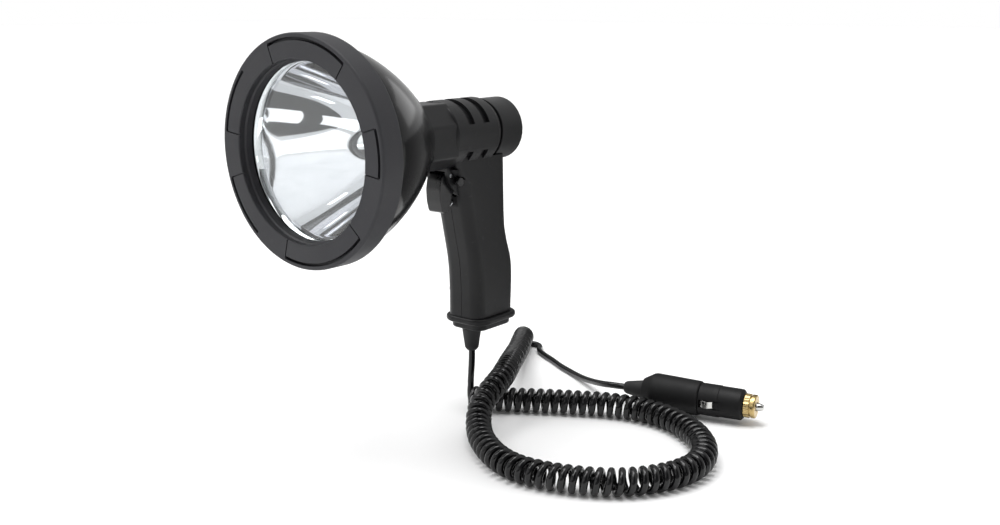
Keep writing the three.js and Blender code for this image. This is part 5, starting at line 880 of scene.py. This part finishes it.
# The cord: 4.3 m of round two-core cable in black PVC, extruded smooth. It drops from the grip, is
# wound into 98 curls that run round the floor in a loop and over themselves, and ends in the plug.
CABLE_RADIUS = 2.35
CURL_RADIUS, CURL_COUNT, CURL_POINTS = 6.55, 98.25, 20
LEAD_POINTS, TAIL_POINTS, LINE_STEPS = 16, 90, 40
LEAD_ROUTE = [(0, 155.6, -150), (0, 155.6, -158), (0, 155.6, -161), (0, 155.5, -164.5), (0, 155.3, -168),
              (0, 155, -171.5), (0, 154.7, -175), (0, 154.4, -178.5), (0, 154.2, -182), (0, 154.2, -184.5)]
CURL_LINE = [
    (3.1, 148.4, -192), (12, 153.6, -192), (28, 163.8, -192), (47, 176.2, -192), (67, 188.2, -192),
    (84, 197.6, -192), (98, 203.2, -192), (113, 206, -192), (130, 205.4, -192), (146, 200.6, -192),
    (161, 192, -192), (174, 181, -192), (183.5, 168.6, -192), (189.8, 154, -192), (191.6, 139, -192),
    (188.8, 124, -192), (182, 109.5, -192), (171.5, 95.5, -192), (158, 85, -192), (142, 77.4, -192),
    (125, 72.2, -192), (109, 70.8, -192), (93.5, 74.2, -192), (77.5, 82, -191.9), (61, 93.4, -191.3),
    (51, 102.8, -190), (44.6, 110, -187.8), (40, 116.4, -184.8), (36.4, 124.2, -180.8), (34.6, 132.4, -177.3),
    (32.6, 141.6, -174.8), (27.1, 156.6, -173.3), (19.4, 171, -173.5), (7.4, 190.6, -175.6),
    (-8, 215, -179.6), (-29.5, 248, -185.6), (-46.4, 273, -189.4), (-61.1, 295.8, -191.6)]
TAIL_ROUTE = [
    (-52.4, 300, -198.3), (-47.5, 299, -198.5), (-43.7, 295.7, -198.5), (-41, 291.2, -198.5),
    (-37.6, 287.2, -198.5), (-32.6, 283.6, -198.5), (-25.5, 279.4, -198.5), (-17, 275, -198.5),
    (-9.6, 270.8, -198.5), (0.9, 264.8, -198.5), (11.8, 259.6, -198.4), (23.7, 253.4, -197.8),
    (36.4, 246, -196.2), (48.7, 238.5, -193.6), (55, 234.5, -192), (61, 231, -190.5),
    (67, 228.2, -189.1), (73, 226.9, -188), (79, 227.1, -187.5), (84.4, 228.3, -187.4), (88.3, 229.2, -187.4)]


def smooth_line(points, pieces):
    """Even steps along a smooth curve through points: the places and the directions there."""
    knots = [Vector(p) for p in points]
    knots = [2 * knots[0] - knots[1]] + knots + [2 * knots[-1] - knots[-2]]
    dense = []
    for k in range(1, len(knots) - 2):
        p0, p1, p2, p3 = knots[k - 1:k + 3]
        s0, s1, s2 = [max((b - a).length_squared ** 0.25, 1e-6) for a, b in ((p0, p1), (p1, p2), (p2, p3))]
        near = ((p1 - p0) / s0 - (p2 - p0) / (s0 + s1) + (p2 - p1) / s1) * s1
        far = ((p2 - p1) / s1 - (p3 - p1) / (s1 + s2) + (p3 - p2) / s2) * s1
        dense += [between(step / LINE_STEPS, p1, near, p2, far) for step in range(LINE_STEPS)]
    dense.append(knots[-2])
    reach = [0]
    for a, b in zip(dense, dense[1:]):
        reach.append(reach[-1] + (b - a).length)
    places, directions = [], []
    k = 0
    for i in range(pieces + 1):
        want = reach[-1] * i / pieces
        while k < len(dense) - 2 and reach[k + 1] < want:
            k += 1
        span = dense[k + 1] - dense[k]
        places.append(dense[k] + span * ((want - reach[k]) / max(reach[k + 1] - reach[k], 1e-9)))
        directions.append(span.normalized())
    return places, directions


curls = []
for i, (place, along) in enumerate(zip(*smooth_line(CURL_LINE, round(CURL_COUNT * CURL_POINTS)))):
    side = Vector((-along.y, along.x, 0)).normalized()
    angle = -2 * math.pi * i / CURL_POINTS
    curls.append(place + CURL_RADIUS * (math.cos(angle) * side + math.sin(angle) * along.cross(side)))
# The lead meets the first curl from above, and the tail goes on the way the last one ends.
above = [curls[0] + Vector((0, 0, height)) for height in (4.7, 2)]
leaving = (curls[-1] - curls[-2]).normalized()
beyond = [curls[-1] + distance * leaving for distance in (2, 5)]
lead, _ = smooth_line(LEAD_ROUTE + above, LEAD_POINTS)
tail, _ = smooth_line(beyond + TAIL_ROUTE, TAIL_POINTS)
cable_path = [(p + LAMP_FRONT) / 1000 for p in lead + curls + tail]
cable_line = bpy.data.curves.new("cord", "CURVE")
cable_line.dimensions = "3D"
cable_line.bevel_depth = CABLE_RADIUS / 1000
cable_line.bevel_resolution = 3
cable_line.use_fill_caps = True
run = cable_line.splines.new("POLY")
run.points.add(len(cable_path) - 1)
for point, place in zip(run.points, cable_path):
    point.co = (*place, 1)
run.use_smooth = True
cord = placed("cord", cable_line)
# The sheath is glossy, with ripples of about 1.2 mm along it from the die.
extruded_pvc = moulded("extruded_black_pvc", "#060607", "#0c0c0e", 9, (0.14, 0.26), 1.2, 0.015, 1.45, 0.03)
cable_line.materials.append(extruded_pvc)
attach(cord, "lamp")
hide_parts("cord_lead", "curly_cord", "cord_tail")
